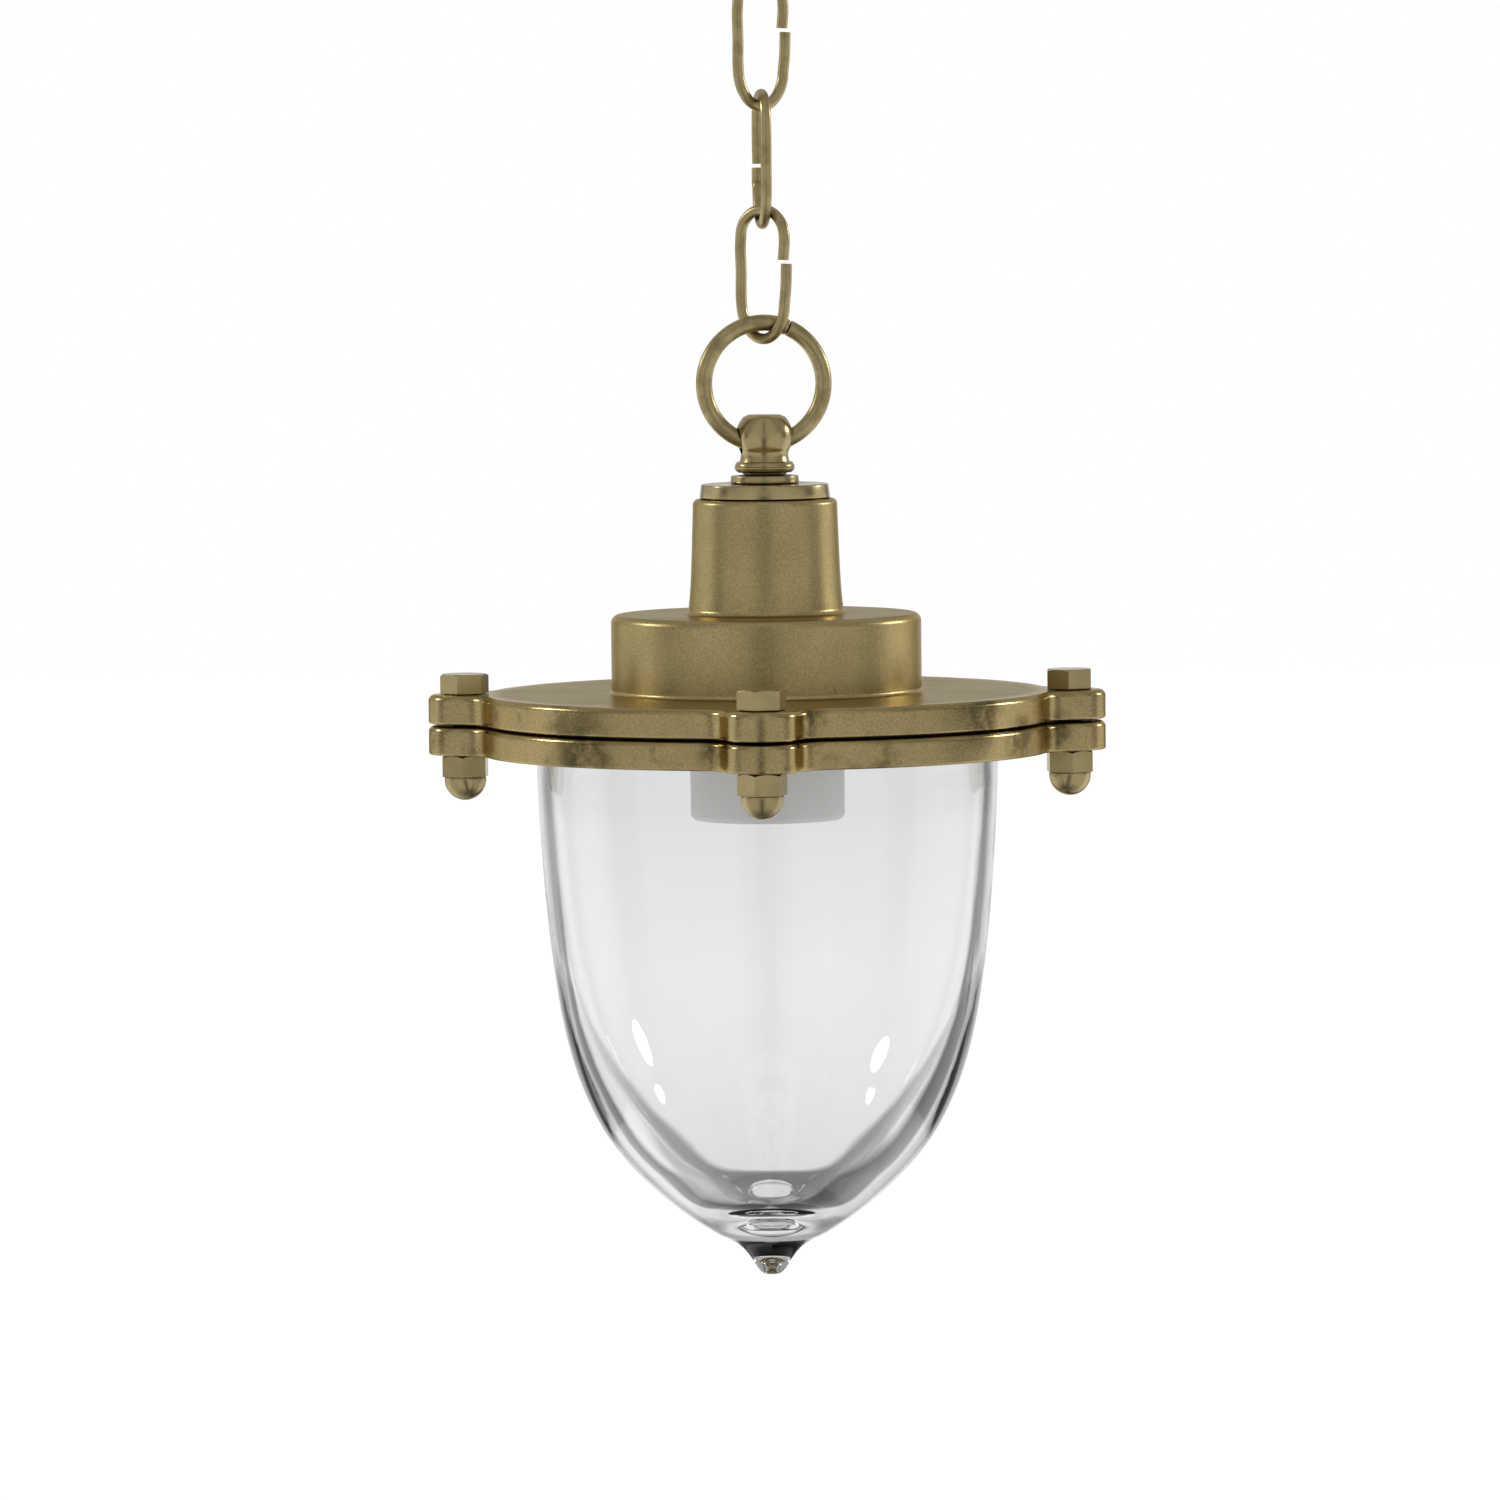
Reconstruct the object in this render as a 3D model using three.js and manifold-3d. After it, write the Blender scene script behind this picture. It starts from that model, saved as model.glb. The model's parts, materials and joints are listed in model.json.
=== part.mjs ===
// A brass ship's lantern: a cast roof, a glass bell clamped under it by four bolts, and the
// ring and chain that it hangs on. Millimetres, +Z up. The origin is the point where the
// topmost link rests on its hook: the underside of that link's upper end.
import * as THREE from "three";
import { mergeVertices } from "three/addons/utils/BufferGeometryUtils.js";
import Module from "manifold-3d";

const wasm = await Module();
wasm.setup();

// Fits
const seatGap = 0.3; // between pieces that rest on each other
const boltSlack = 0.5; // radial, round a shank in a plain hole
const threadGap = 0.3; // radial, between a thread and its nut or tapped hole
const cutOverrun = 6; // how far a cutting solid runs past the face that it cuts

// Chain
const linkLength = 42;
const linkWidth = 20;
const linkWire = 3.3;
const linkTopRise = 8; // heights of the two rounded ends, on the wire's centre line
const linkFootRise = 11.5;
const splitGap = 1.2; // the links are bent from wire and left open by this much
const splitStep = 1.2; // how far the two ends at the split stand out of line
const splitOutShare = 0.65; // of that step, outward at the lower end; the rest is inward above

// Each link is turned about the vertical; its split is in the leg on splitSide.
const links = [
  { name: "chain_link_top", turn: 37, splitSide: 1, splitRiseShare: 0.08 },
  { name: "chain_link_middle", turn: -84, splitSide: -1, splitRiseShare: -0.05 },
  { name: "chain_link_lower", turn: -38, splitSide: 1, splitRiseShare: 0.09 },
];

// Suspension ring
const ringOuter = 41.3;
const ringWire = 4.9;
const ringTurn = 11;
const ringJointAngle = 65; // where the bent ring's ends meet, from the horizontal
const ringJointGap = 0.3;

// Finial: a turned knob with a stud, cross-drilled for the ring
const stubRadius = 6.6;
const stubRise = 0.5;
const beadRadius = 9.1;
const beadHeight = 3.6;
const neckRadius = 7.1;
const neckRise = 5.6; // heights from here on are above the finial's foot
const ballRadius = 8.6;
const ballRise = 11.4;
const ballFootAngle = 35; // where the neck meets the ball, below its middle
const knobFlatRadius = 5.6;
const knobFlatShare = 0.85; // of that radius is level; the rest is a rounded shoulder
const knobShoulderShare = 0.88; // of the way up to the flat, where the shoulder starts
const crossHoleRise = 10.18;
const crossMouthShare = 0.945; // of ballRadius, where the ring passes the edges of the hole's roof
const studRadius = 5;
const nutStandOut = 2; // stud beyond its nut

// Discs between the finial and the roof
const collarRadius = 10.3;
const collarThickness = 2.2;
const collarRound = 0.3;
const discStep = 2.1; // of the disc inside the tower's top
const discThickness = 4.2;
const discRound = 0.8;

// Roof casting
const wall = 4;
const towerTopRadius = 21.7;
const towerFlare = 1.5; // the foot's radius over the top's
const towerHeight = 34.5;
const towerRound = 1.6;
const towerFillet = 2;
const drumLedge = 19; // flat width round the tower, on the drum's top
const drumHeight = 23.5;
const drumRound = 2.4;
const drumFillet = 1.3;
const flangeThickness = 8.4;
const flangeRound = 1.8;

// Lugs and their bolts
const boltOffset = 4.9; // of a bolt outside the flange's round edge
const lugRadius = 10.9;
const lugFillet = 12;
const boltRadius = 4;
const hexFlats = 13;
const headHeight = 5.8;
const nutHexHeight = 6.4;
const domeRadius = 6.3;
const domeHeight = 7.2;
const nutThread = 9; // depth of the blind hole
const threadSpare = 1.2; // between the bolt's end and the bottom of that hole

// One bolt to each lug, named as it is seen from the front (-Y)
const bolts = [
  { side: "front", at: -90, headTurn: 0, nutTurn: 0 },
  { side: "right", at: 0, headTurn: 28, nutTurn: 36 },
  { side: "back", at: 90, headTurn: 12, nutTurn: 8 },
  { side: "left", at: 180, headTurn: 16, nutTurn: 26 },
];

// Clamp ring, gaskets and glass
const clampThickness = 8.4;
const upperGasket = 0.7;
const lowerGasket = 1;
const gasketSetBack = 3; // of the upper gasket's edge inside the flange's edge
const bellRadius = 69.4;
const bellWall = 4;
const bellClearance = 0.9; // radial, in the clamp ring's bore
const lipWidth = 6.6;
const lipThickness = 4;
const lipClearance = 0.8; // radial, in the clamp ring's rebate
const lipRound = 1;
const clampRim = 9.2; // of the clamp ring round the rebate
const bellDepth = 155.8; // lip to the underside of the bowl
const bellBottom = 13.9; // thickness of the glass there, round the dimple
const floorRadius = 11; // where the inside's curve reaches the floor
const dimpleRadius = 6.9;
const dimpleDepth = 4;
const tipRootRadius = 8.7;
const tipLength = 8.9;
// Down the bell's outside: depth as a share of bellDepth, radius as a share of bellRadius
const bellShares = [
  [0, 1],
  [0.15, 0.994],
  [0.33, 0.965],
  [0.52, 0.925],
  [0.61, 0.883],
  [0.7, 0.814],
  [0.79, 0.703],
  [0.87, 0.556],
  [0.93, 0.404],
  [0.975, 0.252],
];
// Down the inside, which draws away from the outside towards the thick bottom: depth as a share
// of that to the floor, radius as a share of that at the lip
const insideShares = [
  [0, 1],
  [0.164, 0.994],
  [0.298, 0.971],
  [0.439, 0.94],
  [0.545, 0.913],
  [0.643, 0.872],
  [0.728, 0.803],
  [0.805, 0.706],
  [0.877, 0.578],
  [0.939, 0.422],
  [0.983, 0.268],
];
// Down the drawn tip: depth as a share of tipLength, radius as a share of tipRootRadius
const tipShares = [
  [0, 1],
  [0.24, 0.87],
  [0.44, 0.71],
  [0.62, 0.62],
  [0.8, 0.5],
  [0.93, 0.33],
  [1, 0],
];

// Lamp holder: a porcelain E27 shell-type holder
const holderWall = 4.8;
const holderCrown = 9.6; // porcelain above the lamp's cavity
const holderRound = 2.2;
const mouthDepth = 11;
const mouthStep = 3.7; // of the mouth outside the thread shell
const shellInnerRadius = 13.4;
const shellThickness = 0.6;
const shellHeight = 25;
const shellRolls = 4;
const shellRollDepth = 0.7;
const contactRadius = 4.2;
const contactHeight = 3;
const contactTipShare = 0.6; // of contactRadius, at the face that meets the lamp
const contactSink = 2.4; // of the contact's stem in the porcelain

// Bracket that carries the holder in the drum
const bracketWidth = 15;
const bracketEnd = 5; // of the bar beyond its fixing screws
const bracketThickness = 2.5;
const bossInset = 12.6; // of the cast bosses from the drum's inner wall
const bossRadius = 5.4;
const bossDrop = 6.2; // below the drum's roof
const bracketScrewRadius = 2;
const bracketScrewDepth = 6.5;
const holderScrewRadius = 1.75;
const holderScrewSpare = 1.6; // porcelain left under the screw
// A pan head, as shares of the screw's own radius or of the head's own radius and height
const screwShares = { head: 1.9, height: 1.2, crown: 0.75, edge: 0.4, slot: 0.4, slotFloor: 0.55 };
const terminalLength = 17;
const terminalWidth = 13;
const terminalHeight = 11;
const terminalSpace = 1.2; // between the block and the holder's screws
const wireHoleRadius = 1.8;
const wireHoleRise = 4.4;
const earthInset = 9.6; // of the earth screw from the drum's inner wall

// Stud washer and nut inside the tower
const washerRadius = 10;
const washerThickness = 1.6;
const studNutFlats = 16;
const studNutHeight = 8;

// Cable gland on the drum's top, behind the tower
const glandLedgeShare = 0.5526; // of the ledge, from the tower's fillet to the gland's axis
const glandBore = 3.6;
const glandThreadRadius = 5;
const glandHexFlats = 13;
const glandHexHeight = 5;
const glandNeckRadius = 5.3;
const glandNeckHeight = 5;
const glandSealHeight = 3;
const glandNutFlats = 14;
const glandNutHeight = 7.5;
const glandRim = 0.8; // of the neck round the seal

// Facets
const bigSides = 36;
const midSides = 24;
const smallSides = 18;
const shankSides = 12;
const wireSides = 7;
const ringSides = 9;
const linkSteps = 34;
const ringSteps = 34;
const roundSteps = 2;
const bellSteps = 12;
const bellInsideSteps = 11;
const dimpleSteps = 3;

// Radii and places that follow from the sizes above
const lipRadius = bellRadius + lipWidth;
const rebateRadius = lipRadius + lipClearance;
const clampBore = bellRadius + bellClearance;
const flangeRadius = rebateRadius + clampRim;
const boltCircle = flangeRadius + boltOffset;
const towerFootRadius = towerTopRadius + towerFlare;
const discRadius = towerTopRadius - discStep;
const drumRadius = towerFootRadius + towerFillet + drumLedge + drumRound;
const drumInner = drumRadius - wall;
const bossSpread = drumInner - bossInset;
const earthOffset = drumInner - earthInset;
const glandOffset = towerFootRadius + towerFillet + drumLedge * glandLedgeShare;
const shellOuterRadius = shellInnerRadius + shellRollDepth + shellThickness;
const mouthRadius = shellOuterRadius + mouthStep;
const holderRadius = mouthRadius + holderWall;
const holderHeight = mouthDepth + shellHeight + contactHeight + holderCrown;
const holderScrewDepth = holderCrown - holderScrewSpare;
const holderScrewSpread = terminalLength / 2 + terminalSpace + holderScrewRadius * screwShares.head;

// Heights in the lantern's own frame, whose zero is the flange's top face
const drumTop = drumHeight;
const towerTop = drumTop + towerHeight;
const discBottom = towerTop + seatGap;
const discTop = discBottom + discThickness;
const collarBottom = discTop + seatGap;
const collarTop = collarBottom + collarThickness;
const finialFoot = collarTop + seatGap;
const drumRoof = drumTop - wall;
const towerRoof = towerTop - wall;
const bossFoot = drumRoof - bossDrop;
const bracketTop = bossFoot - seatGap;
const bracketBottom = bracketTop - bracketThickness;
const holderTop = bracketBottom - seatGap;
const holderBottom = holderTop - holderHeight;
const clampTop = -flangeThickness - upperGasket - 2 * seatGap;
const clampBottom = clampTop - clampThickness;
const rebateFloor = clampTop - lipThickness - lowerGasket - 2 * seatGap;
const nutTop = clampBottom - seatGap;
const shellSeat = holderBottom + mouthDepth;
const cavityTop = shellSeat + shellHeight + contactHeight;

// Materials
const brass = { color: 0x8a7b55, roughness: 0.38, metalness: 1 };
const turnedBrass = { color: 0x94855c, roughness: 0.3, metalness: 1 };
const clearGlass = { color: 0xe6eaea, roughness: 0.05, metalness: 0, transparent: true, opacity: 0.3 };
const porcelain = { color: 0xdedad0, roughness: 0.25, metalness: 0 };
const rubber = { color: 0x22211f, roughness: 0.8, metalness: 0 };
const plated = { color: 0xb3b1a8, roughness: 0.35, metalness: 1 };

const radians = THREE.MathUtils.degToRad;
const point = (x, y) => new THREE.Vector2(x, y);

// A closed geometry as a solid that can be cut and joined.
function solid(geometry) {
  const bare = geometry.clone();
  bare.deleteAttribute("normal");
  bare.deleteAttribute("uv");
  const merged = mergeVertices(bare, 1e-4);
  return new wasm.Manifold(
    new wasm.Mesh({
      numProp: 3,
      vertProperties: merged.attributes.position.array,
      triVerts: new Uint32Array(merged.index.array),
    }),
  );
}

// A solid's surface as a geometry with flat faces.
function surface(made) {
  const mesh = made.getMesh();
  const places = new Float32Array(mesh.numVert * 3);
  for (let i = 0; i < mesh.numVert; i++) {
    places.set(mesh.vertProperties.subarray(i * mesh.numProp, i * mesh.numProp + 3), i * 3);
  }
  const indexed = new THREE.BufferGeometry();
  indexed.setAttribute("position", new THREE.BufferAttribute(places, 3));
  indexed.setIndex(new THREE.BufferAttribute(mesh.triVerts, 1));
  const geometry = indexed.toNonIndexed();
  geometry.computeVertexNormals();
  return geometry;
}

function piece(name, shape, finish) {
  const geometry = shape.isBufferGeometry ? shape : surface(shape);
  const mesh = new THREE.Mesh(geometry, new THREE.MeshStandardMaterial(finish));
  mesh.name = name;
  return mesh;
}

// Points of an arc in a profile, from one angle to another in degrees.
function arc(x, y, radius, from, to, steps = roundSteps) {
  const points = [];
  for (let i = 0; i <= steps; i++) {
    const angle = radians(from + ((to - from) * i) / steps);
    points.push(point(x + radius * Math.cos(angle), y + radius * Math.sin(angle)));
  }
  return points;
}

// A profile of radius and height, turned about the vertical; it runs up the outside.
function turned(points, sides) {
  return new THREE.LatheGeometry(points, sides).rotateX(Math.PI / 2);
}

function rod(radius, bottom, top, sides = shankSides) {
  const profile = [point(0, bottom), point(radius, bottom), point(radius, top), point(0, top)];
  return solid(turned(profile, sides));
}

function block(width, depth, bottom, top) {
  const box = new THREE.BoxGeometry(width, depth, top - bottom);
  return solid(box.translate(0, 0, (bottom + top) / 2));
}

// A hexagonal prism whose corners are rounded off at one or both ends by a cone.
function hexPrism(flats, bottom, top, chamfers) {
  const corner = flats / Math.sqrt(3);
  const cut = corner - flats / 2;
  const prism = new THREE.CylinderGeometry(corner, corner, top - bottom, 6).rotateX(Math.PI / 2);
  const low = chamfers.includes("bottom") ? cut / 2 : 0;
  const high = chamfers.includes("top") ? cut / 2 : 0;
  const profile = [
    point(0, bottom),
    point(low ? flats / 2 : corner, bottom),
    point(corner, bottom + low),
    point(corner, top - high),
    point(high ? flats / 2 : corner, top),
    point(0, top),
  ];
  const envelope = solid(turned(profile, shankSides));
  // the prism's corners start on the X axis
  return solid(prism.rotateZ(Math.PI / 6).translate(0, 0, (bottom + top) / 2)).intersect(envelope);
}

// The wire's centre line in one link, in the plane of X and Z round its own centre. It starts
// at the split, goes down and round, and comes back to the split from above.
function linkPath(link) {
  const halfWidth = (linkWidth - linkWire) / 2;
  const halfHeight = (linkLength - linkWire) / 2;
  const splitZ = link.splitRiseShare * linkLength;
  const endSteps = 8;
  const points = [];
  const add = (x, z) => points.push(new THREE.Vector3(link.splitSide * x, 0, z));
  const addEnd = (sign, rise) => {
    for (let i = 0; i <= endSteps; i++) {
      const angle = (Math.PI * i) / endSteps;
      const z = halfHeight - rise + rise * Math.sin(angle);
      add(-sign * halfWidth * Math.cos(angle), sign * z);
    }
  };
  const out = splitStep * splitOutShare;
  add(halfWidth + out, splitZ - splitGap / 2);
  add(halfWidth + out / 2, (splitZ - halfHeight) / 2 + linkFootRise / 4);
  addEnd(-1, linkFootRise);
  add(-halfWidth, 0);
  addEnd(1, linkTopRise);
  add(halfWidth + out - splitStep, splitZ + splitGap / 2);
  return new THREE.CatmullRomCurve3(points, false, "centripetal");
}

function wireSection(diameter, sides) {
  const shape = new THREE.Shape();
  for (let i = 0; i < sides; i++) {
    const angle = (2 * Math.PI * (i + 0.5)) / sides;
    const place = point((diameter / 2) * Math.cos(angle), (diameter / 2) * Math.sin(angle));
    if (i) shape.lineTo(place.x, place.y);
    else shape.moveTo(place.x, place.y);
  }
  return shape;
}

function bentWire(path, diameter, steps, sides) {
  return new THREE.ExtrudeGeometry(wireSection(diameter, sides), { steps, extrudePath: path });
}

// The ring's centre line: nearly a full circle, open at its butt joint.
function ringPath() {
  const radius = (ringOuter - ringWire) / 2;
  const opening = ringJointGap / radius;
  const path = new THREE.Curve();
  path.getPoint = (t) => {
    const angle = radians(ringJointAngle) + opening / 2 + t * (2 * Math.PI - opening);
    return new THREE.Vector3(radius * Math.cos(angle), 0, radius * Math.sin(angle));
  };
  return path;
}

// How far the centre of a hanging loop lies below the centre of the loop that holds it, so
// that the two wires pass each other with the seat gap and nothing less.
function hangDrop(upper, lower, reach) {
  const samples = 260;
  const place = (loop) => {
    const turnAngle = radians(loop.turn);
    return loop.path
      .getSpacedPoints(samples)
      .map((p) => [p.x * Math.cos(turnAngle), p.x * Math.sin(turnAngle), p.z]);
  };
  const below = place(upper).filter((p) => p[2] < 0);
  const above = place(lower).filter((p) => p[2] > 0);
  let lift = -Infinity;
  for (const p of below) {
    for (const q of above) {
      const aside = Math.hypot(p[0] - q[0], p[1] - q[1]);
      if (aside < reach) {
        lift = Math.max(lift, p[2] - q[2] + Math.sqrt(reach * reach - aside * aside));
      }
    }
  }
  return -lift;
}

// Chain and ring, each hung on the one above
const chain = links.map((link) => ({ ...link, path: linkPath(link), wire: linkWire }));
chain.push({ name: "suspension_ring", turn: ringTurn, path: ringPath(), wire: ringWire });
chain[0].z = linkWire - linkLength / 2;
chain.slice(1).forEach((loop, i) => {
  const holder = chain[i];
  loop.z = holder.z - hangDrop(holder, loop, (holder.wire + loop.wire) / 2 + seatGap);
});
const ring = chain[chain.length - 1];
const ringMeanRadius = (ringOuter - ringWire) / 2;
const ringFootWire = ring.z - ringMeanRadius;
// The finial's cross hole is straight and the ring curves up through it: the wire clears the
// hole's floor in the middle and bears on its roof at both mouths.
const ringInner = ringMeanRadius - ringWire / 2;
const wireRise = ringInner - Math.sqrt(ringInner ** 2 - (ballRadius * crossMouthShare) ** 2);
const crossHoleHeight = ringWire + wireRise + 2 * seatGap;
const crossHoleFloor = ringFootWire - ringWire / 2 - seatGap;
const flangeTopZ = crossHoleFloor + crossHoleHeight / 2 - crossHoleRise - finialFoot;

function loopMesh(loop) {
  const steps = loop === ring ? ringSteps : linkSteps;
  const sides = loop === ring ? ringSides : wireSides;
  const mesh = piece(loop.name, bentWire(loop.path, loop.wire, steps, sides), turnedBrass);
  mesh.position.z = loop.z;
  mesh.rotation.z = radians(loop.turn);
  return mesh;
}

function ringFinial() {
  const foot = finialFoot;
  const studEnd = towerRoof - 2 * seatGap - washerThickness - studNutHeight - nutStandOut;
  const beadRound = beadHeight / 2;
  const beadCentre = foot + stubRise + beadRound;
  const flatAngle = Math.acos(knobFlatRadius / ballRadius);
  const top = foot + ballRise + ballRadius * Math.sin(flatAngle);
  const ballEnd = THREE.MathUtils.radToDeg(flatAngle) * knobShoulderShare;
  const profile = [
    point(0, studEnd),
    point(studRadius, studEnd),
    point(studRadius, foot),
    point(stubRadius, foot),
    point(stubRadius, foot + stubRise),
    ...arc(beadRadius - beadRound, beadCentre, beadRound, -60, 60, 3),
    point(neckRadius, foot + neckRise),
    ...arc(0, foot + ballRise, ballRadius, -ballFootAngle, ballEnd, 5),
    point(knobFlatRadius * knobFlatShare, top),
    point(0, top),
  ];
  const knob = solid(turned(profile, midSides));
  // the hole's flats are the given height apart
  const crossRadius = crossHoleHeight / 2 / Math.cos(Math.PI / smallSides);
  const crossEnd = ballRadius + cutOverrun;
  const hole = rod(crossRadius, -crossEnd, crossEnd, smallSides)
    .rotate([0, 90, ringTurn])
    .translate([0, 0, foot + crossHoleRise]);
  return piece("ring_finial", knob.subtract(hole), turnedBrass);
}

// A flat disc with a rounded upper edge and a hole for the stud.
function turnedDisc(name, radius, bottom, top, edge) {
  const bore = studRadius + boltSlack;
  const profile = [
    point(bore, bottom),
    point(radius, bottom),
    ...arc(radius - edge, top - edge, edge, 0, 90),
    point(bore, top),
    point(bore, bottom),
  ];
  return piece(name, turned(profile, midSides), turnedBrass);
}

// The outline that both flanges share: a disc with a lug at each bolt, joined by fillets.
function flangeOutline() {
  const toFillet = flangeRadius + lugFillet;
  const lugToFillet = lugRadius + lugFillet;
  const cosine = (toFillet ** 2 + boltCircle ** 2 - lugToFillet ** 2) / (2 * toFillet * boltCircle);
  const x = toFillet * cosine;
  const y = toFillet * Math.sqrt(1 - cosine ** 2);
  const spread = THREE.MathUtils.radToDeg(Math.acos(cosine));
  const lean = THREE.MathUtils.radToDeg(Math.atan2(y, x - boltCircle));
  const quarter = 360 / bolts.length;
  const part = [
    ...arc(x, -y, lugFillet, 180 - spread, 180 - lean, 3),
    ...arc(boltCircle, 0, lugRadius, -lean, lean, 8).slice(1),
    ...arc(x, y, lugFillet, 180 + lean, 180 + spread, 3).slice(1),
    ...arc(0, 0, flangeRadius, spread, quarter - spread, 6).slice(1, -1),
  ];
  const origin = point(0, 0);
  const points = bolts.flatMap((bolt, i) =>
    part.map((p) => p.clone().rotateAround(origin, radians(i * quarter))),
  );
  return new THREE.Shape(points);
}

// A flange of that outline, its upper and lower edges rounded over.
function flangePlate(bottom, top) {
  const plate = new THREE.ExtrudeGeometry(flangeOutline(), {
    depth: top - bottom - 2 * flangeRound,
    bevelThickness: flangeRound,
    bevelSize: flangeRound,
    bevelOffset: -flangeRound,
    bevelSegments: 1,
  });
  return solid(plate.translate(0, 0, bottom + flangeRound));
}

function boltHoles(bottom, top) {
  const hole = rod(boltRadius + boltSlack, bottom - cutOverrun, top + cutOverrun);
  return bolts.map((bolt) => {
    const angle = radians(bolt.at);
    return hole.translate([boltCircle * Math.cos(angle), boltCircle * Math.sin(angle), 0]);
  });
}

const cutAll = (body, tools) => tools.reduce((left, tool) => left.subtract(tool), body);
const addAll = (body, more) => more.reduce((whole, extra) => whole.add(extra), body);

function roofCasting() {
  const root = -flangeThickness / 4; // the turned body runs this far down into the flange
  const outside = [
    point(0, root),
    point(drumRadius + drumFillet, root),
    ...arc(drumRadius + drumFillet, drumFillet, drumFillet, -90, -180),
    ...arc(drumRadius - drumRound, drumTop - drumRound, drumRound, 0, 90),
    ...arc(towerFootRadius + towerFillet, drumTop + towerFillet, towerFillet, -90, -180),
    point(towerTopRadius + towerFlare / 3, drumTop + towerHeight / 2),
    ...arc(towerTopRadius - towerRound, towerTop - towerRound, towerRound, 0, 90),
    point(0, towerTop),
  ];
  const hollow = [
    point(0, -flangeThickness - cutOverrun),
    point(drumInner, -flangeThickness - cutOverrun),
    point(drumInner, drumRoof - drumRound),
    point(drumInner - drumRound, drumRoof),
    point(towerFootRadius - wall, drumRoof),
    point(towerTopRadius - wall, towerRoof - towerRound),
    point(towerTopRadius - wall - towerRound, towerRoof),
    point(0, towerRoof),
  ];
  const body = flangePlate(-flangeThickness, 0).add(solid(turned(outside, bigSides)));
  const shell = body.subtract(solid(turned(hollow, midSides)));
  const boss = rod(bossRadius, bossFoot, drumRoof + wall / 2);
  const bosses = [
    boss.translate([-bossSpread, 0, 0]),
    boss.translate([bossSpread, 0, 0]),
    boss.translate([0, -earthOffset, 0]),
  ];
  const tappedEnd = bossFoot + bracketScrewDepth + seatGap;
  const tapped = rod(bracketScrewRadius + threadGap, bossFoot - cutOverrun, tappedEnd);
  const holes = [
    rod(studRadius + boltSlack, towerRoof - cutOverrun, towerTop + cutOverrun),
    rod(glandThreadRadius + threadGap, drumRoof - cutOverrun, drumTop + cutOverrun, smallSides)
      .translate([0, glandOffset, 0]),
    tapped.translate([-bossSpread, 0, 0]),
    tapped.translate([bossSpread, 0, 0]),
    tapped.translate([0, -earthOffset, 0]),
    ...boltHoles(-flangeThickness, 0),
  ];
  return piece("roof_casting", cutAll(addAll(shell, bosses), holes), brass);
}

function clampRing() {
  const opening = [
    point(0, clampBottom - cutOverrun),
    point(clampBore, clampBottom - cutOverrun),
    point(clampBore, rebateFloor),
    point(rebateRadius, rebateFloor),
    point(rebateRadius, clampTop + cutOverrun),
    point(0, clampTop + cutOverrun),
  ];
  const plate = flangePlate(clampBottom, clampTop).subtract(solid(turned(opening, bigSides)));
  return piece("clamp_ring", cutAll(plate, boltHoles(clampBottom, clampTop)), brass);
}

function flatRing(name, inner, outer, bottom, top, sides, finish) {
  const profile = [
    point(inner, bottom),
    point(outer, bottom),
    point(outer, top),
    point(inner, top),
    point(inner, bottom),
  ];
  return piece(name, turned(profile, sides), finish);
}

// The bell's outside, from the drawn tip up to the lip, as a smooth curve through its shares.
function bellOutside() {
  const tip = tipShares.map(([depth, across]) =>
    point(tipRootRadius * across, clampTop - bellDepth - tipLength * depth),
  );
  const side = bellShares.map(([depth, across]) =>
    point(bellRadius * across, clampTop - bellDepth * depth),
  );
  const bowl = new THREE.SplineCurve([...side, tip[0]]).getPoints(bellSteps);
  return [...tip.reverse(), ...bowl.reverse().slice(1)];
}

// The inside runs down to a narrow floor with a round dimple in its middle.
function bellInside() {
  const radius = bellRadius - bellWall;
  const depth = bellDepth - bellBottom;
  const side = insideShares.map(([down, across]) => point(radius * across, clampTop - depth * down));
  const floor = clampTop - depth;
  const bowl = new THREE.SplineCurve([...side, point(floorRadius, floor)]).getPoints(bellInsideSteps);
  const dimple = [point(dimpleRadius, floor)];
  for (let i = 1; i < dimpleSteps; i++) {
    const angle = (Math.PI / 2) * (i / dimpleSteps);
    dimple.push(point(dimpleRadius * Math.cos(angle), floor - dimpleDepth * Math.sin(angle)));
  }
  return [...bowl, ...dimple, point(0, floor - dimpleDepth)];
}

function glassBell() {
  const outside = bellOutside();
  const body = outside.slice(0, -1);
  const lipFoot = clampTop - lipThickness;
  const profile = [
    ...body.filter((p) => p.y < lipFoot - lipRound),
    point(bellRadius, lipFoot - lipRound / 2),
    point(bellRadius + lipRound / 2, lipFoot),
    ...arc(lipRadius - lipRound, lipFoot + lipRound, lipRound, -90, 0, 1),
    ...arc(lipRadius - lipRound, clampTop - lipRound, lipRound, 0, 90, 1),
    ...bellInside(),
  ];
  return piece("glass_bell", turned(profile, bigSides), clearGlass);
}

function placedBolt(bolt) {
  const angle = radians(bolt.at);
  return [boltCircle * Math.cos(angle), boltCircle * Math.sin(angle)];
}

function boltMesh(bolt) {
  const end = nutTop - nutThread + threadSpare;
  const head = hexPrism(hexFlats, seatGap, seatGap + headHeight, ["top"]).rotate([0, 0, bolt.headTurn]);
  const shank = rod(boltRadius, end, seatGap + headHeight / 2);
  const [x, y] = placedBolt(bolt);
  const mesh = piece("bolt_" + bolt.side, head.add(shank), turnedBrass);
  mesh.position.set(x, y, 0);
  return mesh;
}

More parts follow.
